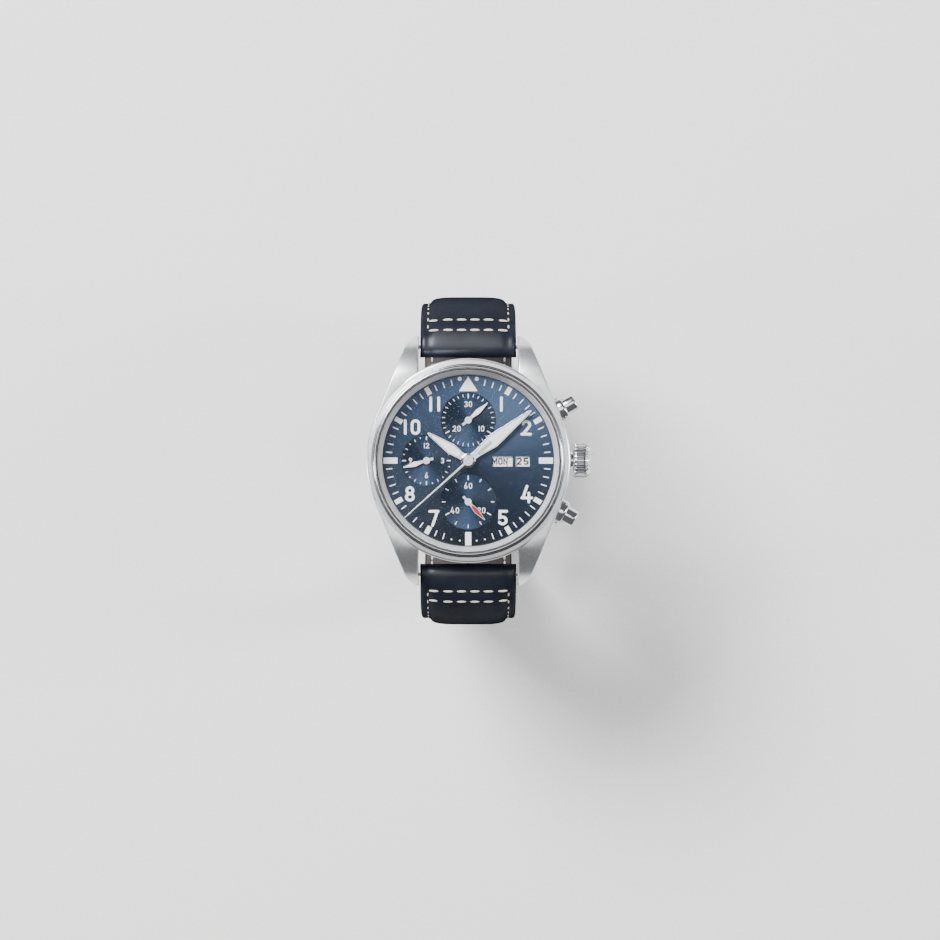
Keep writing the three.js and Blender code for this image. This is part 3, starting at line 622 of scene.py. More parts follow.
bezel_profile = [
    (18.47, 10.6), (18.86, 10.6), (18.86, 13.0), (18.83, 13.08), (18.76, 13.13), (18.68, 13.15),
    (18.60, 13.14), (18.53, 13.08), (18.49, 12.98), (18.47, 12.8),
]
wall_profile = [
    (18.84, 10.45), (19.28, 10.45), (19.34, 10.52), (19.35, 10.7), (19.35, 11.3), (19.31, 11.42),
    (19.2, 11.45),
    (18.84, 11.45),
]
slope_profile = [
    (18.85, 11.4), (19.3, 11.4), (19.2, 11.62), (19.12, 11.9), (19.06, 12.25), (19.00, 12.6), (18.94, 12.85),
    (18.85, 12.93),
]
bezel, _, _ = [
    piece(f"bezel_{name}", *lathe(profile, 256), material, "case", "polished_steel", 28.0)
    for name, profile, material in (
        ("lip", bezel_profile, STEEL),
        ("wall", wall_profile, STEEL),
        # The outer slope is drawn in the steel painted dark, a painted dark reflection.
        ("slope", slope_profile, STEEL_PAINTED_DARK_REFLECTION),
    )
]
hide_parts("bezel")
crystal_profile = [(0.0, 12.22), (17.95, 12.22), (18.09, 12.3), (18.09, 13.05), (18.0, 13.2)]
crystal_profile += [
    (r, 14.49 - 1.05 * (r / 17.7) ** 2.0) for r in (17.7, 16.5, 15, 13, 11, 9, 7, 5, 3, 1.5)
] + [(0.0, 14.49)]
crystal = piece("crystal_dome", *lathe(crystal_profile, 192), SAPPHIRE, "case", "sapphire", 20.0)
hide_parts("crystal")
flange = piece(
    "rehaut", *lathe([(17.2, 9.36), (18.19, 9.36), (18.19, 11.93), (17.97, 11.93)], 256), FLANGE_SILVER,
    "case", "flange_silver", 20.0
)
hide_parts("dial_flange")
piece(
    "dial_edge_shadow", *lathe([(16.98, 9.09), (17.32, 9.09), (17.32, 9.14), (16.98, 9.14)], 256), INK,
    "case", "dial_blue"
)

slot_tools = []
for k in range(6):
    box_verts, box_faces = prism([(17.8, -1.2), (19.6, -1.2), (19.6, 1.2), (17.8, 1.2)], -0.5, 0.6)
    turn = Matrix.Rotation(math.radians(60 * k + 30), 4, "Z")
    slot_tools.append((moved(box_verts, turn), box_faces))
back_profile = [
    (14.62, 0.02), (14.72, 0.0), (18.45, 0.0), (18.6, 0.04), (18.95, 0.42), (19.0, 0.55),
    (19.0, 1.45), (18.95, 1.5), (15.3, 1.5), (15.3, 0.45), (14.62, 0.45),
]
back_mesh = cut_mesh(lathe(back_profile, 192), slot_tools)
back_ring = finished("case_back", back_mesh, BRUSHED_CASE, "case", 30.0)
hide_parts("case_back_ring")
back_glass = piece(
    "case_back_window", *lathe([(0, 0.65), (15.0, 0.65), (15.1, 0.75), (15.1, 1.4), (0, 1.4)], 160),
    SAPPHIRE, "case", "sapphire"
)
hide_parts("case_back_crystal")


# ---- Crown and pushers ----
def crown_shape():
    profile = [
        (0.0, 24.58), (1.2, 24.57), (2.2, 24.5), (2.75, 24.38), (3.05, 24.15), (3.3, 23.8), (3.45, 23.45),
        (3.5, 23.1),
        (3.5, 21.75), (3.46, 21.45), (3.3, 21.15), (3.1, 21.0), (2.15, 20.97), (2.12, 21.1), (2.12, 22.7),
        (0.0, 22.7),
    ]
    segments = 480
    verts, faces, rings = [], [], []
    for radius, height in profile:
        rings.append(list(range(len(verts), len(verts) + segments)))
        for i in range(segments):
            angle = 2 * math.pi * i / segments
            phase = (angle * 24 / (2 * math.pi)) % 1.0
            groove = math.exp(-(((phase - 0.5) / 0.16) ** 2))
            knurled = min(1.0, max(0.0, (radius - 2.6) / 0.6))
            shrunk = radius - 0.42 * groove * knurled
            verts.append((shrunk * math.cos(angle), shrunk * math.sin(angle), height))
    for low, high in zip(rings, rings[1:]):
        for i in range(segments):
            j = (i + 1) % segments
            faces.append([low[i], low[j], high[j], high[i]])
    return verts, faces


crown = piece("crown_knob", *on_radius(crown_shape(), 0), STEEL, "crown", "polished_steel", 50.0)
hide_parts("crown")
tube_profile = [
    (1.3, 17.8), (1.7, 17.8), (1.75, 17.9), (1.75, 22.1), (1.68, 22.2), (1.38, 22.2), (1.3, 22.1)
]
tube = piece("crown_neck", *on_radius(lathe(tube_profile, 64), 0), STEEL, "case", "polished_steel")
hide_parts("crown_tube")
collar_profile = [
    (0.95, 17.8), (1.6, 17.8), (1.6, 20.42), (2.48, 20.42), (2.5, 20.5), (2.5, 21.75), (2.47, 21.95),
    (2.38, 22.1), (2.25, 22.18), (2.12, 22.2), (2.04, 22.16), (2.0, 22.05), (2.0, 20.97), (0.95, 20.8),
]
cap_profile = [
    (0.0, 14.95), (0.65, 14.95), (0.7, 15.05), (0.7, 22.0), (1.75, 22.0), (1.8, 22.06), (1.8, 24.2),
    (1.77, 24.38), (1.68, 24.5), (1.52, 24.57), (1.2, 24.59), (0.0, 24.6),
]
for place, degrees in (("upper", PUSHER_ANGLE), ("lower", -PUSHER_ANGLE)):
    collar = piece(
        f"pusher_collar_{place}", *on_radius(lathe(collar_profile, 96), degrees), STEEL, "case",
        "polished_steel"
    )
    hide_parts(f"pusher_tube_{place}")
    cap = piece(
        f"pusher_button_{place}", *on_radius(lathe(cap_profile, 96), degrees), STEEL, f"pusher_{place}",
        "polished_steel"
    )
    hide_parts(f"pusher_cap_{place}")

# ---- Dial plate ----
window_boxes = [(4.8, 8.9), (9.45, 12.3)]
dial_tools = [
    prism(circle(x, y, r, 128), 8, 10) for x, y, r in (MINUTE_COUNTER, HOUR_COUNTER, SMALL_SECONDS)
]
dial_tools.append(prism(circle(0, 0, 1.35, 48), 8, 10))
dial_tools += [prism([(a, -1.2), (b, -1.2), (b, 0.9), (a, 0.9)], 8, 10) for a, b in window_boxes]
dial_mesh = cut_mesh(prism(circle(0, 0, 17.14, 256), 8.7, DIAL_TOP), dial_tools)
dial_plate = finished("dial_plate", dial_mesh, DIAL_BLUE, "case", 30.0)
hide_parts("dial")


def counter_plate(name, centre):
    """A sunk counter with its rim. Its own origin is its centre, so its rays start there."""
    x, y, radius = centre
    outer = radius - 0.002
    profile = [
        (0.45, 8.72), (outer, 8.72), (outer, 9.085), (outer - 0.1, COUNTER_TOP + 0.01),
        (outer - 0.16, COUNTER_TOP), (0.45, COUNTER_TOP)
    ]
    shape = lathe(profile, 128)
    mesh = bpy.data.meshes.new(name)
    mesh.from_pydata([Vector(v) * MM for v in shape[0]], [], shape[1])
    obj = finished(name, mesh, COUNTER_BLUE, None, 25.0)
    obj.location = (x * MM, y * MM, 0)
    bpy.context.view_layer.update()
    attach(obj, "case")


counter_plate("counter_floor_upper", MINUTE_COUNTER)
counter_plate("counter_floor_left", HOUR_COUNTER)
counter_plate("counter_floor_lower", SMALL_SECONDS)


# ---- Figures drawn with strokes, in a box one unit high ----
FIGURES = {
    "0": [arc(0.30, 0.70, 0.20, 0.20, 0, 180) + arc(0.30, 0.30, 0.20, 0.20, 180, 360) + [(0.50, 0.70)]],
    "1": [[(0.11, 0.1), (0.11, 0.9)]],
    "2": [arc(0.30, 0.69, 0.20, 0.21, 168, -28) + [(0.12, 0.12)], [(0.02, 0.10), (0.55, 0.10)]],
    "3": [arc(0.28, 0.69, 0.20, 0.21, 155, -90), arc(0.28, 0.29, 0.22, 0.19, 90, -158)],
    "4": [[(0.33, 1.0), (0.09, 0.28)], [(0.03, 0.26), (0.62, 0.26)], [(0.44, 0.56), (0.44, 0.0)]],
    "5": [[(0.53, 0.90), (0.14, 0.90), (0.12, 0.50)] + arc(0.29, 0.32, 0.22, 0.22, 118, -150)],
    "6": [arc(0.30, 0.31, 0.21, 0.21, 0, 360, 24), [(0.11, 0.40), (0.38, 1.0)]],
    "7": [[(0.03, 0.90), (0.53, 0.90)], [(0.49, 0.88), (0.20, 0.0)]],
    "8": [arc(0.30, 0.71, 0.18, 0.19, 0, 360, 24), arc(0.30, 0.30, 0.21, 0.20, 0, 360, 24)],
    "9": [arc(0.30, 0.69, 0.21, 0.21, 0, 360, 24), [(0.49, 0.60), (0.22, 0.0)]],
    "M": [[(0.1, 0.0), (0.1, 0.93), (0.42, 0.30), (0.74, 0.93), (0.74, 0.0)]],
    "O": [arc(0.35, 0.68, 0.25, 0.24, 0, 180) + arc(0.35, 0.32, 0.25, 0.24, 180, 360) + [(0.60, 0.68)]],
    "N": [[(0.1, 0.0), (0.1, 0.93), (0.55, 0.07), (0.55, 1.0)]],
}
WIDTHS = {
    "0": 0.60, "1": 0.22, "2": 0.58, "3": 0.56, "4": 0.66, "5": 0.58, "6": 0.60, "7": 0.57, "8": 0.60,
    "9": 0.60, "M": 0.84, "O": 0.70, "N": 0.65
}


def ribbon(path, half, bottom, top):
    """A flat stroke of even width along a path, with mitred corners."""
    closed = (Vector(path[0]) - Vector(path[-1])).length < 1e-6
    points = [Vector(p) for p in (path[:-1] if closed else path)]
    count = len(points)
    left, right = [], []
    for i, point in enumerate(points):
        before = points[i - 1] if (i or closed) else None
        after = points[(i + 1) % count] if (i < count - 1 or closed) else None
        a = (point - before).normalized() if before is not None else (after - point).normalized()
        b = (after - point).normalized() if after is not None else a
        normal = Vector((-(a + b).y, (a + b).x))
        normal = normal.normalized() if normal.length > 1e-6 else Vector((-a.y, a.x))
        reach = half / max(0.35, normal.dot(Vector((-a.y, a.x))))
        left.append(point + normal * reach)
        right.append(point - normal * reach)
    verts = []
    for height in (bottom, top):
        verts += [(p.x, p.y, height) for p in left] + [(p.x, p.y, height) for p in right]
    faces = []
    for i in range(count if closed else count - 1):
        j = (i + 1) % count
        faces.append([i, j, count + j, count + i])
        faces.append([2 * count + i, 3 * count + i, 3 * count + j, 2 * count + j])
        faces.append([i, 2 * count + i, 2 * count + j, j])
        faces.append([count + i, count + j, 3 * count + j, 3 * count + i])
    if not closed:
        for i in (0, count - 1):
            faces.append([i, count + i, 3 * count + i, 2 * count + i])
    return verts, faces


def lettering(text, x, y, height, stroke, bottom, thickness, width_share=1.0, gap=0.14, rounded=True):
    """Text centred on (x, y)."""
    top = bottom + thickness
    total = sum(WIDTHS[c] for c in text) + gap * (len(text) - 1)
    cursor = -total / 2
    parts = []
    for character in text:
        for path in FIGURES[character]:
            placed = [
                (x + (cursor + px) * height * width_share, y + (py - 0.5) * height)
                for px, py in path
            ]
            lift = 0.0006 * len(parts)
            parts.append(ribbon(placed, stroke / 2, bottom, top + lift))
            if placed[0] != placed[-1] and rounded:
                for index, (end_x, end_y) in enumerate((placed[0], placed[-1])):
                    parts.append(
                        prism(
                            circle(end_x, end_y, stroke / 2, 20), bottom, top + lift + 0.0002 * (index + 1)
                        )
                    )
        cursor += WIDTHS[character] + gap
    return parts


def bar(clock_degrees, inner, outer, width, bottom, top, centre=(0.0, 0.0)):
    """A block on a radius, by clock angle."""
    turn = Matrix.Translation((centre[0], centre[1], 0)) @ Matrix.Rotation(
        -math.radians(clock_degrees), 4, "Z"
    )
    verts, faces = prism(
        [(-width / 2, inner), (width / 2, inner), (width / 2, outer), (-width / 2, outer)], bottom, top
    )
    return moved(verts, turn), faces


def dot(clock_degrees, radius, size, bottom, top, centre=(0.0, 0.0)):
    angle = math.radians(clock_degrees)
    x = centre[0] + radius * math.sin(angle)
    y = centre[1] + radius * math.cos(angle)
    return prism(circle(x, y, size, 24), bottom, top)


# ---- Main dial printing ----
numerals = []
NUMERAL_PLACES = {
    "10": (-11.25, 6.7), "11": (-6.7, 11.3), "1": (6.63, 11.3), "2": (11.6, 6.55),
    "4": (11.75, -6.7), "5": (6.87, -11.4), "7": (-6.85, -11.4), "8": (-11.67, -6.65),
}
for text, (x, y) in NUMERAL_PLACES.items():
    numerals += lettering(text, x, y, 3.15, 0.53, DIAL_TOP - 0.02, 0.05, 1.06, 0.2 if text == "10" else 0.26)
piece("numerals", *merge(*numerals), LUME, "case", "dial_blue", 30.0)

ticks, blocks = [], []
for minute in range(60):
    if minute % 5 == 0 or minute in (1, 59):
        continue
    if minute in (28, 29, 31, 32):
        ticks.append(dot(minute * 6, 16.1, 0.16, DIAL_TOP - 0.02, DIAL_TOP + 0.015))
        continue
    ticks.append(bar(minute * 6, 15.3, 16.5, 0.2, DIAL_TOP - 0.02, DIAL_TOP + 0.015))
for minute in range(5, 60, 5):
    if minute % 15 == 0:
        blocks.append(
            bar(minute * 6, 14.15 if minute != 30 else 14.3, 16.95, 1.2, DIAL_TOP - 0.02, DIAL_TOP + 0.05)
        )
    else:
        blocks.append(bar(minute * 6, 15.25, 16.85, 0.95, DIAL_TOP - 0.02, DIAL_TOP + 0.05))
blocks.append(prism([(0.0, 16.85), (-1.85, 13.9), (1.85, 13.9)], DIAL_TOP - 0.02, DIAL_TOP + 0.05))
for side in (-1, 1):
    blocks.append(prism(circle(1.7 * side, 16.35, 0.4, 32), DIAL_TOP - 0.02, DIAL_TOP + 0.05))
piece("minute_track", *merge(*ticks), PRINT, "case", "dial_blue", 30.0)
piece("hour_blocks", *merge(*blocks), LUME, "case", "dial_blue", 30.0)

# ---- Counter printing ----
small_print = []
FLOOR = COUNTER_TOP - 0.005
for (x, y, _), count, every, starts, outer, thin, height, figures in (
    (MINUTE_COUNTER, 30, 10, (4.35, 4.65, 4.65), 5.25, 0.11, 1.25,
     (("30", 0, 3.2), ("10", 2.66, -1.7), ("20", -2.3, -1.7))),
    (HOUR_COUNTER, 24, 6, (4.1, 4.3, 4.5), 4.85, 0.11, 1.15,
     (("12", 0, 3.0), ("3", 3.2, 0), ("6", 0, -3.0), ("9", -3.2, 0))),
    (SMALL_SECONDS, 12, 4, (4.35, 4.55, 4.55), 5.25, 0.14, 1.25,
     (("60", 0, 3.2), ("20", 2.66, -1.7), ("40", -2.66, -1.7))),
):
    for step in range(count):
        long_tick = step % every == 0
        inner = starts[0] if long_tick else starts[1 + step % 2]
        width = 0.2 if long_tick else thin
        angle = step * (360 // count)
        small_print.append(bar(angle, inner, outer, width, FLOOR, COUNTER_TOP + 0.012, (x, y)))
    for text, dx, dy in figures:
        small_print += lettering(text, x + dx, y + dy, height, 0.14, FLOOR, 0.017)
piece("counter_print", *merge(*small_print), PRINT, "case", "dial_blue", 30.0)

# ---- Day and date ----
piece(
    "day_print", *merge(*lettering("MON", 6.32, -0.15, 1.35, 0.3, 8.44, 0.02, 0.98, 0.1, False)), INK, "day",
    "calendar_white"
)
piece(
    "date_print", *merge(*lettering("25", 10.88, -0.15, 1.4, 0.32, 8.44, 0.02, 1.32, 0.14, False)), INK,
    "date", "calendar_white"
)


piece(
    "window_bridge", *prism([(7.82, -1.4), (8.7, -1.4), (8.7, 1.1), (7.82, 1.1)], 8.2, 8.44), WHITE, "case",
    "calendar_white"
)


def window_frame(x0, x1, y0, y1, width):
    """A bevelled rim that slopes down into a dial window."""
    outer = [
        (x0 - width, y0 - width), (x1 + width, y0 - width), (x1 + width, y1 + width),
        (x0 - width, y1 + width)
    ]
    inner = [(x0, y0), (x1, y0), (x1, y1), (x0, y1)]
    verts = [(x, y, DIAL_TOP + 0.01) for x, y in outer] + [(x, y, DIAL_TOP - 0.12) for x, y in inner]
    verts += [(x, y, DIAL_TOP - 0.3) for x, y in inner] + [(x, y, DIAL_TOP - 0.3) for x, y in outer]
    faces = []
    for level in range(4):
        for i in range(4):
            j = (i + 1) % 4
            nxt = (level + 1) % 4
            faces.append([level * 4 + i, level * 4 + j, nxt * 4 + j, nxt * 4 + i])
    return verts, faces


frames = merge(*[window_frame(a + 0.02, b - 0.02, -1.18, 0.88, 0.07) for a, b in window_boxes])
piece("window_rims", *frames, DIAL_BLUE, "case", "dial_blue", 20.0)


# ---- Hands ----
def blade(stations, bottom, top, centre, clock_degrees):
    outline = [(w, r) for r, w in stations] + [(-w, r) for r, w in reversed(stations)]
    turn = Matrix.Translation((centre[0], centre[1], 0)) @ Matrix.Rotation(
        -math.radians(clock_degrees), 4, "Z"
    )
    verts, faces = prism(outline, bottom, top)
    return moved(verts, turn), faces


def hub(centre, radius, bottom, top, hole=0.0):
    edge = 0.08
    profile = [
        (radius, bottom), (radius, top - edge), (radius - edge * 0.3, top - edge * 0.3), (radius - edge, top)
    ]
    profile = [(hole, bottom)] + profile + [(hole, top)]
    verts, faces = lathe(profile, 64)
    return moved(verts, Matrix.Translation((centre[0], centre[1], 0))), faces


def inset(stations, margin, start, end):
    """The middle of a hand's outline, for the luminous fill."""
    result = []
    count = 24
    for i in range(count + 1):
        r = start + (end - start) * i / count
        for (r0, w0), (r1, w1) in zip(stations, stations[1:]):
            if r0 <= r <= r1:
                result.append((r, max(0.02, w0 + (w1 - w0) * (r - r0) / (r1 - r0) - margin)))
                break
    return result


HOUR_STATIONS = [(0.0, 0.70), (1.9, 0.78), (4.15, 1.15), (9.3, 0.35), (9.75, 0.15)]
MINUTE_STATIONS = [(0.0, 0.70), (2.4, 0.75), (6.3, 1.40), (15.5, 0.35), (16.1, 0.18)]
for name, stations, low, top, degrees, hub_values, seat, lume in (
    ("hour", HOUR_STATIONS, 9.76, 9.97, 304.3, (1.47, 9.76, 10.04, 1.15),
     (1.9, 9.0, 9.96, 9.978), (2.0, 8.9, 9.96, 9.99)),
    ("minute", MINUTE_STATIONS, 10.26, 10.47, 51.5, (1.3, 10.26, 10.54, 0.7),
     (2.5, 15.1, 10.46, 10.478), (2.6, 15.0, 10.46, 10.49)),
):
    owner = (f"{name}_group", "hand_steel")
    hand = piece(f"{name}_pointer", *blade(stations, low, top, (0, 0), degrees), STEEL, *owner)
    bevelled(hand, 0.05)
    piece(f"{name}_hub", *hub((0, 0), *hub_values), STEEL, *owner)
    for part, margin, material, (start, end, bottom, face) in (
        ("seat", 0.19, INK, seat), ("lume", 0.27, LUME, lume)
    ):
        outline = inset(stations, margin, start, end)
        piece(f"{name}_{part}", *blade(outline, bottom, face, (0, 0), degrees), material, *owner)
    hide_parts(f"{name}_hand")
CHRONO_STATIONS = [(-5.9, 0.27), (-5.0, 0.26), (-1.5, 0.2), (1.5, 0.19), (10.0, 0.14), (17.1, 0.09)]
chrono = piece(
    "sweep_pointer", *blade(CHRONO_STATIONS, 10.81, 10.97, (0, 0), 228.1), SATIN_HAND, "chrono_group",
    "hand_steel"
)
bevelled(chrono, 0.03, 2)
cap_profile = [
    (0.0, 10.81), (1.0, 10.81), (1.0, 11.02), (0.94, 11.08), (0.68, 11.08), (0.64, 11.14), (0.62, 11.3),
    (0.56, 11.36), (0.26, 11.36), (0.2, 11.3), (0.0, 11.28),
]
piece("sweep_hub", *lathe(cap_profile, 64), STEEL, "chrono_group", "hand_steel")
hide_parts("chrono_seconds_hand")
COUNTER_STATIONS = [(-1.5, 0.26), (0, 0.27), (1.2, 0.32), (2.6, 0.54), (4.6, 0.17), (5.05, 0.12)]
for name, body, node, fill, centre, degrees, share in (
    ("minute_counter", "minute_counter_group", "minute_counter_hand", LUME, MINUTE_COUNTER, 49, 1.0),
    ("hour_counter", "hour_counter_group", "hour_counter_hand", LUME, HOUR_COUNTER, 253, 0.95),
    ("small_seconds", "seconds_group", "small_seconds_hand", RED, SMALL_SECONDS, 137.5, 0.97),
):
    slot = "hand_red" if fill is RED else "hand_steel"
    stations = [(r * share, w) for r, w in COUNTER_STATIONS]
    hand = piece(f"{name}_pointer", *blade(stations, 9.31, 9.46, centre, degrees), SATIN_HAND, body, slot)
    bevelled(hand, 0.03, 2)
    piece(
        f"{name}_fill", *blade(inset(stations, 0.11, 1.1, 4.75 * share), 9.45, 9.48, centre, degrees), fill,
        body, slot
    )
    cap_profile = [
        (0.0, 9.31), (0.72, 9.31), (0.72, 9.5), (0.66, 9.56), (0.24, 9.56), (0.18, 9.5), (0.0, 9.49)
    ]
    cap_verts, cap_faces = lathe(cap_profile, 48)
    cap_verts = moved(cap_verts, Matrix.Translation((centre[0], centre[1], 0)))
    piece(f"{name}_cap", cap_verts, cap_faces, STEEL, body, "hand_steel")
    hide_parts(node)


# ---- Strap path in the YZ plane ----
def bezier(p0, p1, p2, p3, t):
    u = 1 - t
    return tuple(
        u ** 3 * a + 3 * u * u * t * b + 3 * u * t * t * c + t ** 3 * d for a, b, c, d in zip(p0, p1, p2, p3)
    )


class Path:
    """A polyline with even reading by distance, and a normal that points out of the loop."""

    def __init__(self, curves, end, side):
        points = []
        for curve in curves:
            points += [bezier(*curve, i / 200) for i in range(200)]
        last = curves[-1][-1]
        points += [
            (last[0] + (end[0] - last[0]) * i / 40, last[1] + (end[1] - last[1]) * i / 40) for i in range(41)
        ]
        self.points = points
        self.side = side
        self.lengths = [0.0]
        for (y0, z0), (y1, z1) in zip(points, points[1:]):
            self.lengths.append(self.lengths[-1] + math.hypot(y1 - y0, z1 - z0))
        self.length = self.lengths[-1]

    def at(self, distance):
        distance = min(max(distance, 0.0), self.length)
        low, high = 0, len(self.lengths) - 1
        while high - low > 1:
            middle = (low + high) // 2
            if self.lengths[middle] <= distance:
                low = middle
            else:
                high = middle
        (y0, z0), (y1, z1) = self.points[low], self.points[high]
        share = (distance - self.lengths[low]) / max(self.lengths[high] - self.lengths[low], 1e-9)
        length = math.hypot(y1 - y0, z1 - z0)
        ty, tz = (y1 - y0) / length, (z1 - z0) / length
        return (y0 + (y1 - y0) * share, z0 + (z1 - z0) * share), (ty, tz), (-tz * self.side, ty * self.side)

    def place(self, x, distance, height):
        (y, z), _, (ny, nz) = self.at(distance)
        return (x, y + ny * height, z + nz * height)


short_path = Path([
    ((20.75, 2.9), (27, 2.9), (31.0, -1.5), (31.2, -12)),
    ((31.2, -12), (31.6, -29), (29, BUCKLE_Z), (19, BUCKLE_Z)),
], (BUCKLE_BAR_Y - 1.7, BUCKLE_Z), 1)
long_path = Path([
    ((-20.75, 2.9), (-27, 2.9), (-31.0, -1.5), (-31.2, -12)),
    ((-31.2, -12), (-31.8, -38), (-27, TAIL_Z), (-8, TAIL_Z)),
], (28, TAIL_Z), -1)


def roll_share(distance, radius):
    if distance >= radius:
        return 1.0
    return math.sqrt(max(radius ** 2 - (radius - distance) ** 2, 0.0)) / radius


def strap_levels(path, distance, buckle_end):
    roll = roll_share(distance, 2.15)
    thick = 1 - ease((distance - 2.15) / 9)
    pad = 1.15 * (1 - ease((distance - 32) / 14))
    inner = -(1.15 + 0.95 * thick) * roll
    edge = (1.0 + 0.9 * (1 - ease((distance - 3.2) / 3.2))) * roll
    middle = (1.15 + pad * (1 - thick) + 0.95 * thick) * roll
    taper = clamp(distance / path.length)
    half = (19.4 - 1.4 * taper) / 2
    if buckle_end:
        left = path.length - distance
        swell = 1 - ease((left - 1.7) / 3.5)
        end = roll_share(left, 1.7)
        inner = (inner - 0.5 * swell) * end
        edge = (edge + 0.5 * swell) * end
        middle = (middle + 0.45 * swell) * end
    else:
        tip = clamp((distance - (path.length - 9)) / 9)
        half *= math.sqrt(max(1 - 0.93 * tip ** 2, 0.02))
    return inner, edge, middle, half


def top_height(x, half, edge, middle):
    """Edges lie flat outside the seam, then the padding rises in a soft dome."""
    seam = half - 1.75
    share = abs(x) / max(seam, 0.1)
    dome = math.sqrt(max(1 - clamp(share) ** 5, 0.0))
    groove = 0.10 * math.exp(-(((abs(x) - seam + 0.15) / 0.35) ** 2))
    return edge + (middle - edge) * dome - groove * clamp((middle - 0.2) / 1.0)


def strap_section(path, distance, buckle_end, columns=44):
    inner, edge, middle, half = strap_levels(path, distance, buckle_end)
    top, bottom = [], []
    corner = min(0.55, (edge - inner) * 0.45)
    for i in range(columns + 1):
        x = -half + corner + (2 * (half - corner)) * i / columns
        top.append((x, top_height(x, half, edge, middle)))
        bottom.append((x, inner))
    side = []
    for k in range(1, 8):
        angle = math.radians(90 - 180 * k / 8)
        middle_height = (edge + inner) / 2
        side.append((corner * math.cos(angle), middle_height + (edge - inner) / 2 * math.sin(angle)))
    ring = top + [(half - corner + dx, h) for dx, h in side] + bottom[::-1]
    ring += [(-half + corner - dx, h) for dx, h in side[::-1]]
    return [path.place(x, distance, h) for x, h in ring]


def strap_stations(path, buckle_end):
    stations = [0.02, 0.08, 0.2, 0.4, 0.7, 1.1, 1.6, 2.15]
    stop = path.length - (1.7 if buckle_end else 9)
    count = int((stop - 2.15) / 0.8)
    stations += [2.15 + (stop - 2.15) * i / count for i in range(1, count + 1)]
    tail = [1.2, 0.8, 0.5, 0.3, 0.12, 0.03] if buckle_end else [
        9 - 0.5 * k for k in range(1, 17)
    ] + [0.6, 0.3, 0.1, 0.0]
    return stations + [path.length - left for left in tail]


def rod_x(y, z, radius, count=32, reach=12.0):
    ring = [
        (y + radius * math.cos(2 * math.pi * i / count), z + radius * math.sin(2 * math.pi * i / count))
        for i in range(count)
    ]
    return loft([[(x, py, pz) for py, pz in ring] for x in (-reach, reach)])


def hole_tool(path, distance, radius=1.05):
    (y, z), (ty, tz), (ny, nz) = path.at(distance)
    ring = []
    for end in (-4, 4):
        section = []
        for i in range(24):
            a = 2 * math.pi * i / 24
            dx, along = radius * math.cos(a), radius * math.sin(a)
            section.append((dx, y + ty * along + ny * end, z + tz * along + nz * end))
        ring.append(section)
    return loft(ring)


def line_inside(strap, path):
    """Gives the faces that look into the loop the lining leather."""
    strap.data.materials.append(LINING)
    tree = KDTree(len(path.points))
    for index, (y, z) in enumerate(path.points):
        tree.insert((0, y, z), index)
    tree.balance()
    for polygon in strap.data.polygons:
        centre = polygon.center / MM
        _, index, _ = tree.find((0, centre.y, centre.z))
        _, _, (ny, nz) = path.at(path.lengths[index])
        if polygon.normal.y * ny + polygon.normal.z * nz < -0.75:
            polygon.material_index = 1


short_shape = loft([strap_section(short_path, s, True) for s in strap_stations(short_path, True)])
long_shape = loft([strap_section(long_path, s, False) for s in strap_stations(long_path, False)])
tongue_slot = prism([(-1.6, -4.0), (1.6, -4.0), (1.6, 2.3), (-1.6, 2.3)], BUCKLE_Z - 3, BUCKLE_Z + 3)
short_mesh = cut_mesh(
    short_shape, [rod_x(SPRING_BAR_Y, SPRING_BAR_Z, 1.0), rod_x(BUCKLE_BAR_Y, BUCKLE_Z, 0.88), tongue_slot]
)
long_tools = [rod_x(-SPRING_BAR_Y, SPRING_BAR_Z, 1.0)]
long_tools += [hole_tool(long_path, long_path.length - 22 - 6.5 * k) for k in range(7)]
long_mesh = cut_mesh(long_shape, long_tools)
strap_short = finished("strap_short_leather", short_mesh, LEATHER, "strap_short", 50.0)
strap_long = finished("strap_long_leather", long_mesh, LEATHER, "strap_long", 50.0)
for strap, path in ((strap_short, short_path), (strap_long, long_path)):
    line_inside(strap, path)
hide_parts("strap_short")
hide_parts("strap_long")


# ---- Stitching ----
def stitch(path, x, distance, length, height, across=False, radius=0.2):
    """One visible thread: a lens-shaped bead sunk at both ends."""
    steps, around = 8, 8
    sections = []
    for i in range(steps + 1):
        t = i / steps
        bow = math.sin(math.pi * t)
        thick = radius * (0.35 + 0.65 * bow ** 0.5)
        lift = height - 0.14 + 0.16 * bow
        offset = (t - 0.5) * length
        section = []
        for k in range(around):
            a = 2 * math.pi * k / around
            u, v = thick * math.cos(a), thick * math.sin(a)
            if across:
                section.append(path.place(x + offset, distance + u, lift + v))
            else:
                section.append(path.place(x + u, distance + offset, lift + v))
        sections.append(section)
    return loft(sections)


def side_stitches(path, buckle_end, first, last, pitch=2.05, length=1.5):
    parts = []
    count = int((last - first) / pitch)
    for i in range(count + 1):
        distance = first + pitch * i
        inner, edge, middle, half = strap_levels(path, distance, buckle_end)
        for side in (-1, 1):
            x = side * (half - 1.55)
            parts.append(stitch(path, x, distance, length, top_height(x, half, edge, middle) - 0.05))
            parts.append(stitch(path, x, distance, length, inner - 0.02))
    return parts


def cross_stitches(path, buckle_end, distance, reach, count=6, length=2.35):
    inner, edge, middle, half = strap_levels(path, distance, buckle_end)
    parts = []
    for i in range(count):
        x = -reach + 2 * reach * (i + 0.5) / count
        parts.append(stitch(path, x, distance, length, top_height(x, half, edge, middle) - 0.05, True))
    return parts


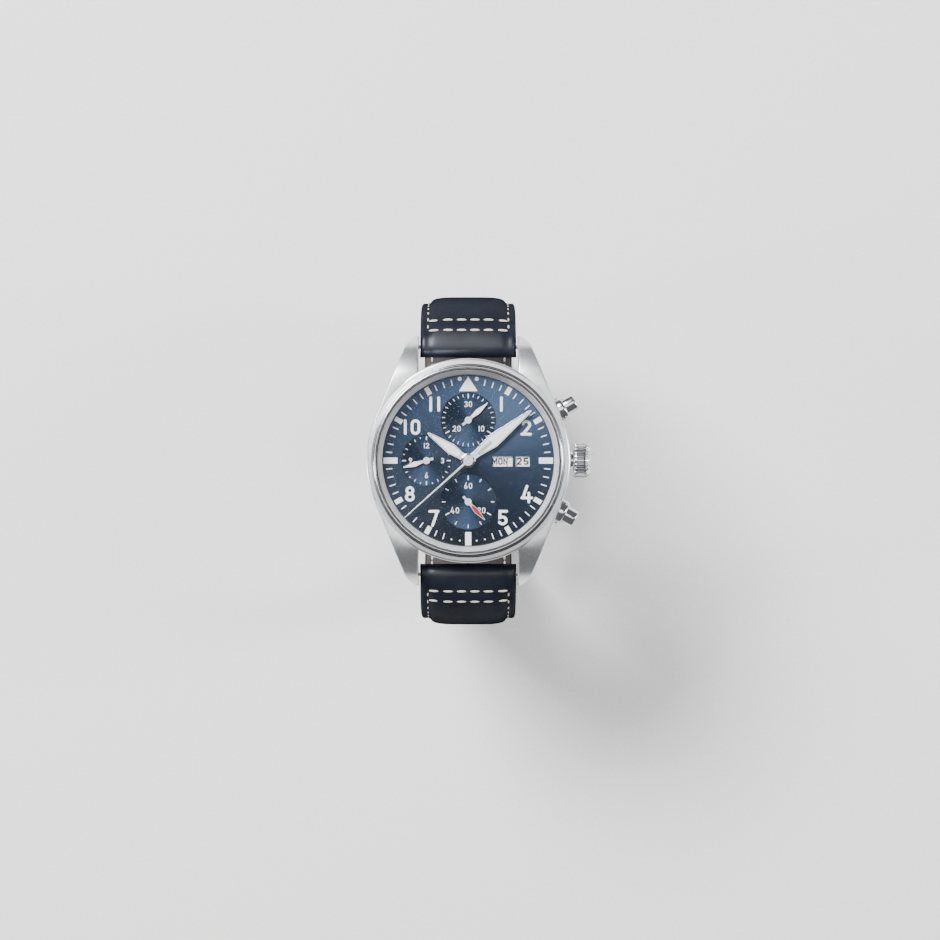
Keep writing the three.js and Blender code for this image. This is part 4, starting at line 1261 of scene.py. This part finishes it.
short_threads = side_stitches(short_path, True, 5.75, short_path.length - 6)
long_threads = side_stitches(long_path, False, 5.75, long_path.length - 9)
for path, buckle_end, threads in ((short_path, True, short_threads), (long_path, False, long_threads)):
    for distance in (4.75, 6.75):
        threads += cross_stitches(path, buckle_end, distance, 8.05)
piece("strap_short_thread", *merge(*short_threads), THREAD, "strap_short", "leather", 60.0)
piece("strap_long_thread", *merge(*long_threads), THREAD, "strap_long", "leather", 60.0)


# ---- Keepers, buckle and its tongue ----
def keeper_shape(start, length=3.6):
    """A leather loop with rounded outer corners and softly bulging walls."""
    def ring(offset, corner):
        x, low, high = 9.55 + offset, BUCKLE_Z - 4.1 - offset, BUCKLE_Z + 1.5 + offset
        points = []
        for cx, cz, begin in (
            (x - corner, high - corner, 0), (-x + corner, high - corner, 90),
            (-x + corner, low + corner, 180), (x - corner, low + corner, 270)
        ):
            for i in range(7):
                a = math.radians(begin + 90 * i / 6)
                points.append((cx + corner * math.cos(a), cz + corner * math.sin(a)))
        return points
    sections = []
    for k in range(24):
        a = 2 * math.pi * k / 24
        along = math.copysign(abs(math.cos(a)) ** 0.5, math.cos(a)) * (length / 2 - 0.02)
        out = 0.52 + math.copysign(abs(math.sin(a)) ** 0.6, math.sin(a)) * 0.5
        section = [(x, start + length / 2 + along, z) for x, z in ring(out, 0.5 + out * 0.8)]
        sections.append(section)
    return loft(sections, closed=True)


fixed = piece("keeper_fixed", *keeper_shape(3.6), LEATHER, "strap_short", "leather", 60.0)
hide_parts("fixed_keeper")
free = piece("keeper_free", *keeper_shape(8.6), LEATHER, "free_keeper", "leather", 60.0)
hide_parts("free_keeper")

BUCKLE_FRONT = BUCKLE_BAR_Y - 13.2


def buckle_shape():
    """A rounded bar bent into a U, lofted along its centre line."""
    half_x, corner = 10.25, 2.2
    front = BUCKLE_FRONT + 1.1
    line = [(half_x, 1.15), (half_x, 0.9)] + [
        (half_x, 0.9 + (front + corner - 0.9) * i / 8) for i in range(1, 9)
    ]
    line += [
        (
            half_x - corner + corner * math.cos(math.radians(a)),
            front + corner + corner * math.sin(math.radians(a))
        )
        for a in range(-10, -91, -10)
    ]
    line += [(x, front) for x in (6, 4, 2, 0)]
    mirrored = [(-x, y) for x, y in reversed(line[:-1])]
    line += mirrored
    sections = []
    for i, (x, y) in enumerate(line):
        before, after = line[max(i - 1, 0)], line[min(i + 1, len(line) - 1)]
        dx, dy = after[0] - before[0], after[1] - before[1]
        size = math.hypot(dx, dy)
        nx, ny = dy / size, -dx / size
        section = []
        for k in range(28):
            a = 2 * math.pi * k / 28
            wide = math.copysign(abs(math.cos(a)) ** 0.7, math.cos(a)) * 0.92
            high = math.copysign(abs(math.sin(a)) ** 0.7, math.sin(a)) * 1.05
            section.append((x + nx * wide, y + ny * wide, BUCKLE_Z + high))
        sections.append(section)
    return loft(sections)


buckle = piece("buckle_hoop", *buckle_shape(), STEEL, "buckle", "polished_steel", 50.0)
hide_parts("buckle_frame")


def tongue_shape():
    line = [
        (-1.42, -0.5, 0.5), (-2.5, -0.8, 0.58), (-5.0, -1.25, 0.56), (-8.0, -1.75, 0.54), (-10.4, -2.0, 0.5),
        (-12.5, -2.02, 0.48), (-13.7, -1.98, 0.42), (-14.2, -1.95, 0.2)
    ]
    sections = []
    for y, z, half in line:
        section = []
        for k in range(24):
            a = 2 * math.pi * k / 24
            section.append(
                (
                    0.9 * math.copysign(abs(math.cos(a)) ** 0.7, math.cos(a)) * (half / 0.6), y,
                    BUCKLE_Z + z + half * math.copysign(abs(math.sin(a)) ** 0.7, math.sin(a))
                )
            )
        sections.append(section)
    ring = [(0.86, -1.2), (1.36, -1.2), (1.45, -1.1), (1.45, 1.1), (1.36, 1.2), (0.86, 1.2)]
    verts, faces = lathe(ring, 48)
    lay = Matrix.Translation((0, BUCKLE_BAR_Y, BUCKLE_Z)) @ Matrix.Rotation(math.pi / 2, 4, "Y")
    return merge(loft(sections), (moved(verts, lay), faces))


tongue = piece("buckle_pin", *tongue_shape(), STEEL, "tongue", "polished_steel", 50.0)
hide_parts("buckle_tongue")

# ---- Materials for the CAD nodes that stay ----
KEPT = {
    STEEL: ["spring_bar_upper", "spring_bar_lower", "buckle_bar", "rotor_bearing"],
    RUBBER: ["crystal_gasket", "case_back_gasket", "crown_gasket"],
    RHODIUM: [
        "main_plate", "train_bridge", "barrel_bridge", "balance_cock", "rotor", "operating_lever_upper",
        "operating_lever_lower"
    ],
    NICKEL: ["movement_ring", "cannon_pinion", "escape_wheel", "pallet_fork"],
    BRASS: [
        "hour_wheel", "centre_wheel", "chrono_wheel", "minute_counter_wheel", "hour_counter_wheel",
        "fourth_wheel", "third_wheel", "barrel", "balance_wheel"
    ],
    WHITE: ["date_disc", "day_disc", "calendar_seat"],
    BLUED: ["winding_stem", "column_wheel", "hairspring"],
}
for material, names in KEPT.items():
    for name in names:
        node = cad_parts[name]
        node.data.materials.clear()
        node.data.materials.append(material)

# ---- Floor and light ----
floor_mesh = bpy.data.meshes.new("floor")
floor_z = CAD_BOX[0][2] - 0.0005
floor_mesh.from_pydata(
    [(-8, -8, floor_z), (8, -8, floor_z), (8, 8, floor_z), (-8, 8, floor_z)], [], [[0, 1, 2, 3]]
)
floor = bpy.data.objects.new("floor", floor_mesh)
bpy.context.scene.collection.objects.link(floor)
floor_mesh.materials.append(lacquer("floor_paper", (0.88, 0.88, 0.87), 0.9, 0.02))


def area_light(name, place, target, size, power, colour=(1, 1, 1)):
    data = bpy.data.lights.new(name, "AREA")
    data.shape = "RECTANGLE"
    data.size, data.size_y = size
    data.energy = power
    data.color = colour
    light = bpy.data.objects.new(name, data)
    bpy.context.scene.collection.objects.link(light)
    light.location = place
    light.rotation_euler = (Vector(target) - Vector(place)).to_track_quat("-Z", "Y").to_euler()


area_light("overhead", (0.0, 0.12, 1.15), (0, 0, 0), (0.55, 0.45), 2.0)
area_light("key", (-0.45, 0.50, 0.80), (0, 0, 0), (0.5, 0.4), 26.0)
area_light("right_strip", (0.80, 0.05, 0.40), (0, 0, 0), (0.18, 0.9), 9.0)
area_light("left_strip", (-0.85, -0.1, 0.26), (0, 0, 0), (0.14, 0.9), 6.0)
world = bpy.data.worlds.new("studio")
world.use_nodes = True
world.node_tree.nodes["Background"].inputs[0].default_value = (0.86, 0.88, 0.92, 1)
world.node_tree.nodes["Background"].inputs[1].default_value = 0.2
bpy.context.scene.world = world
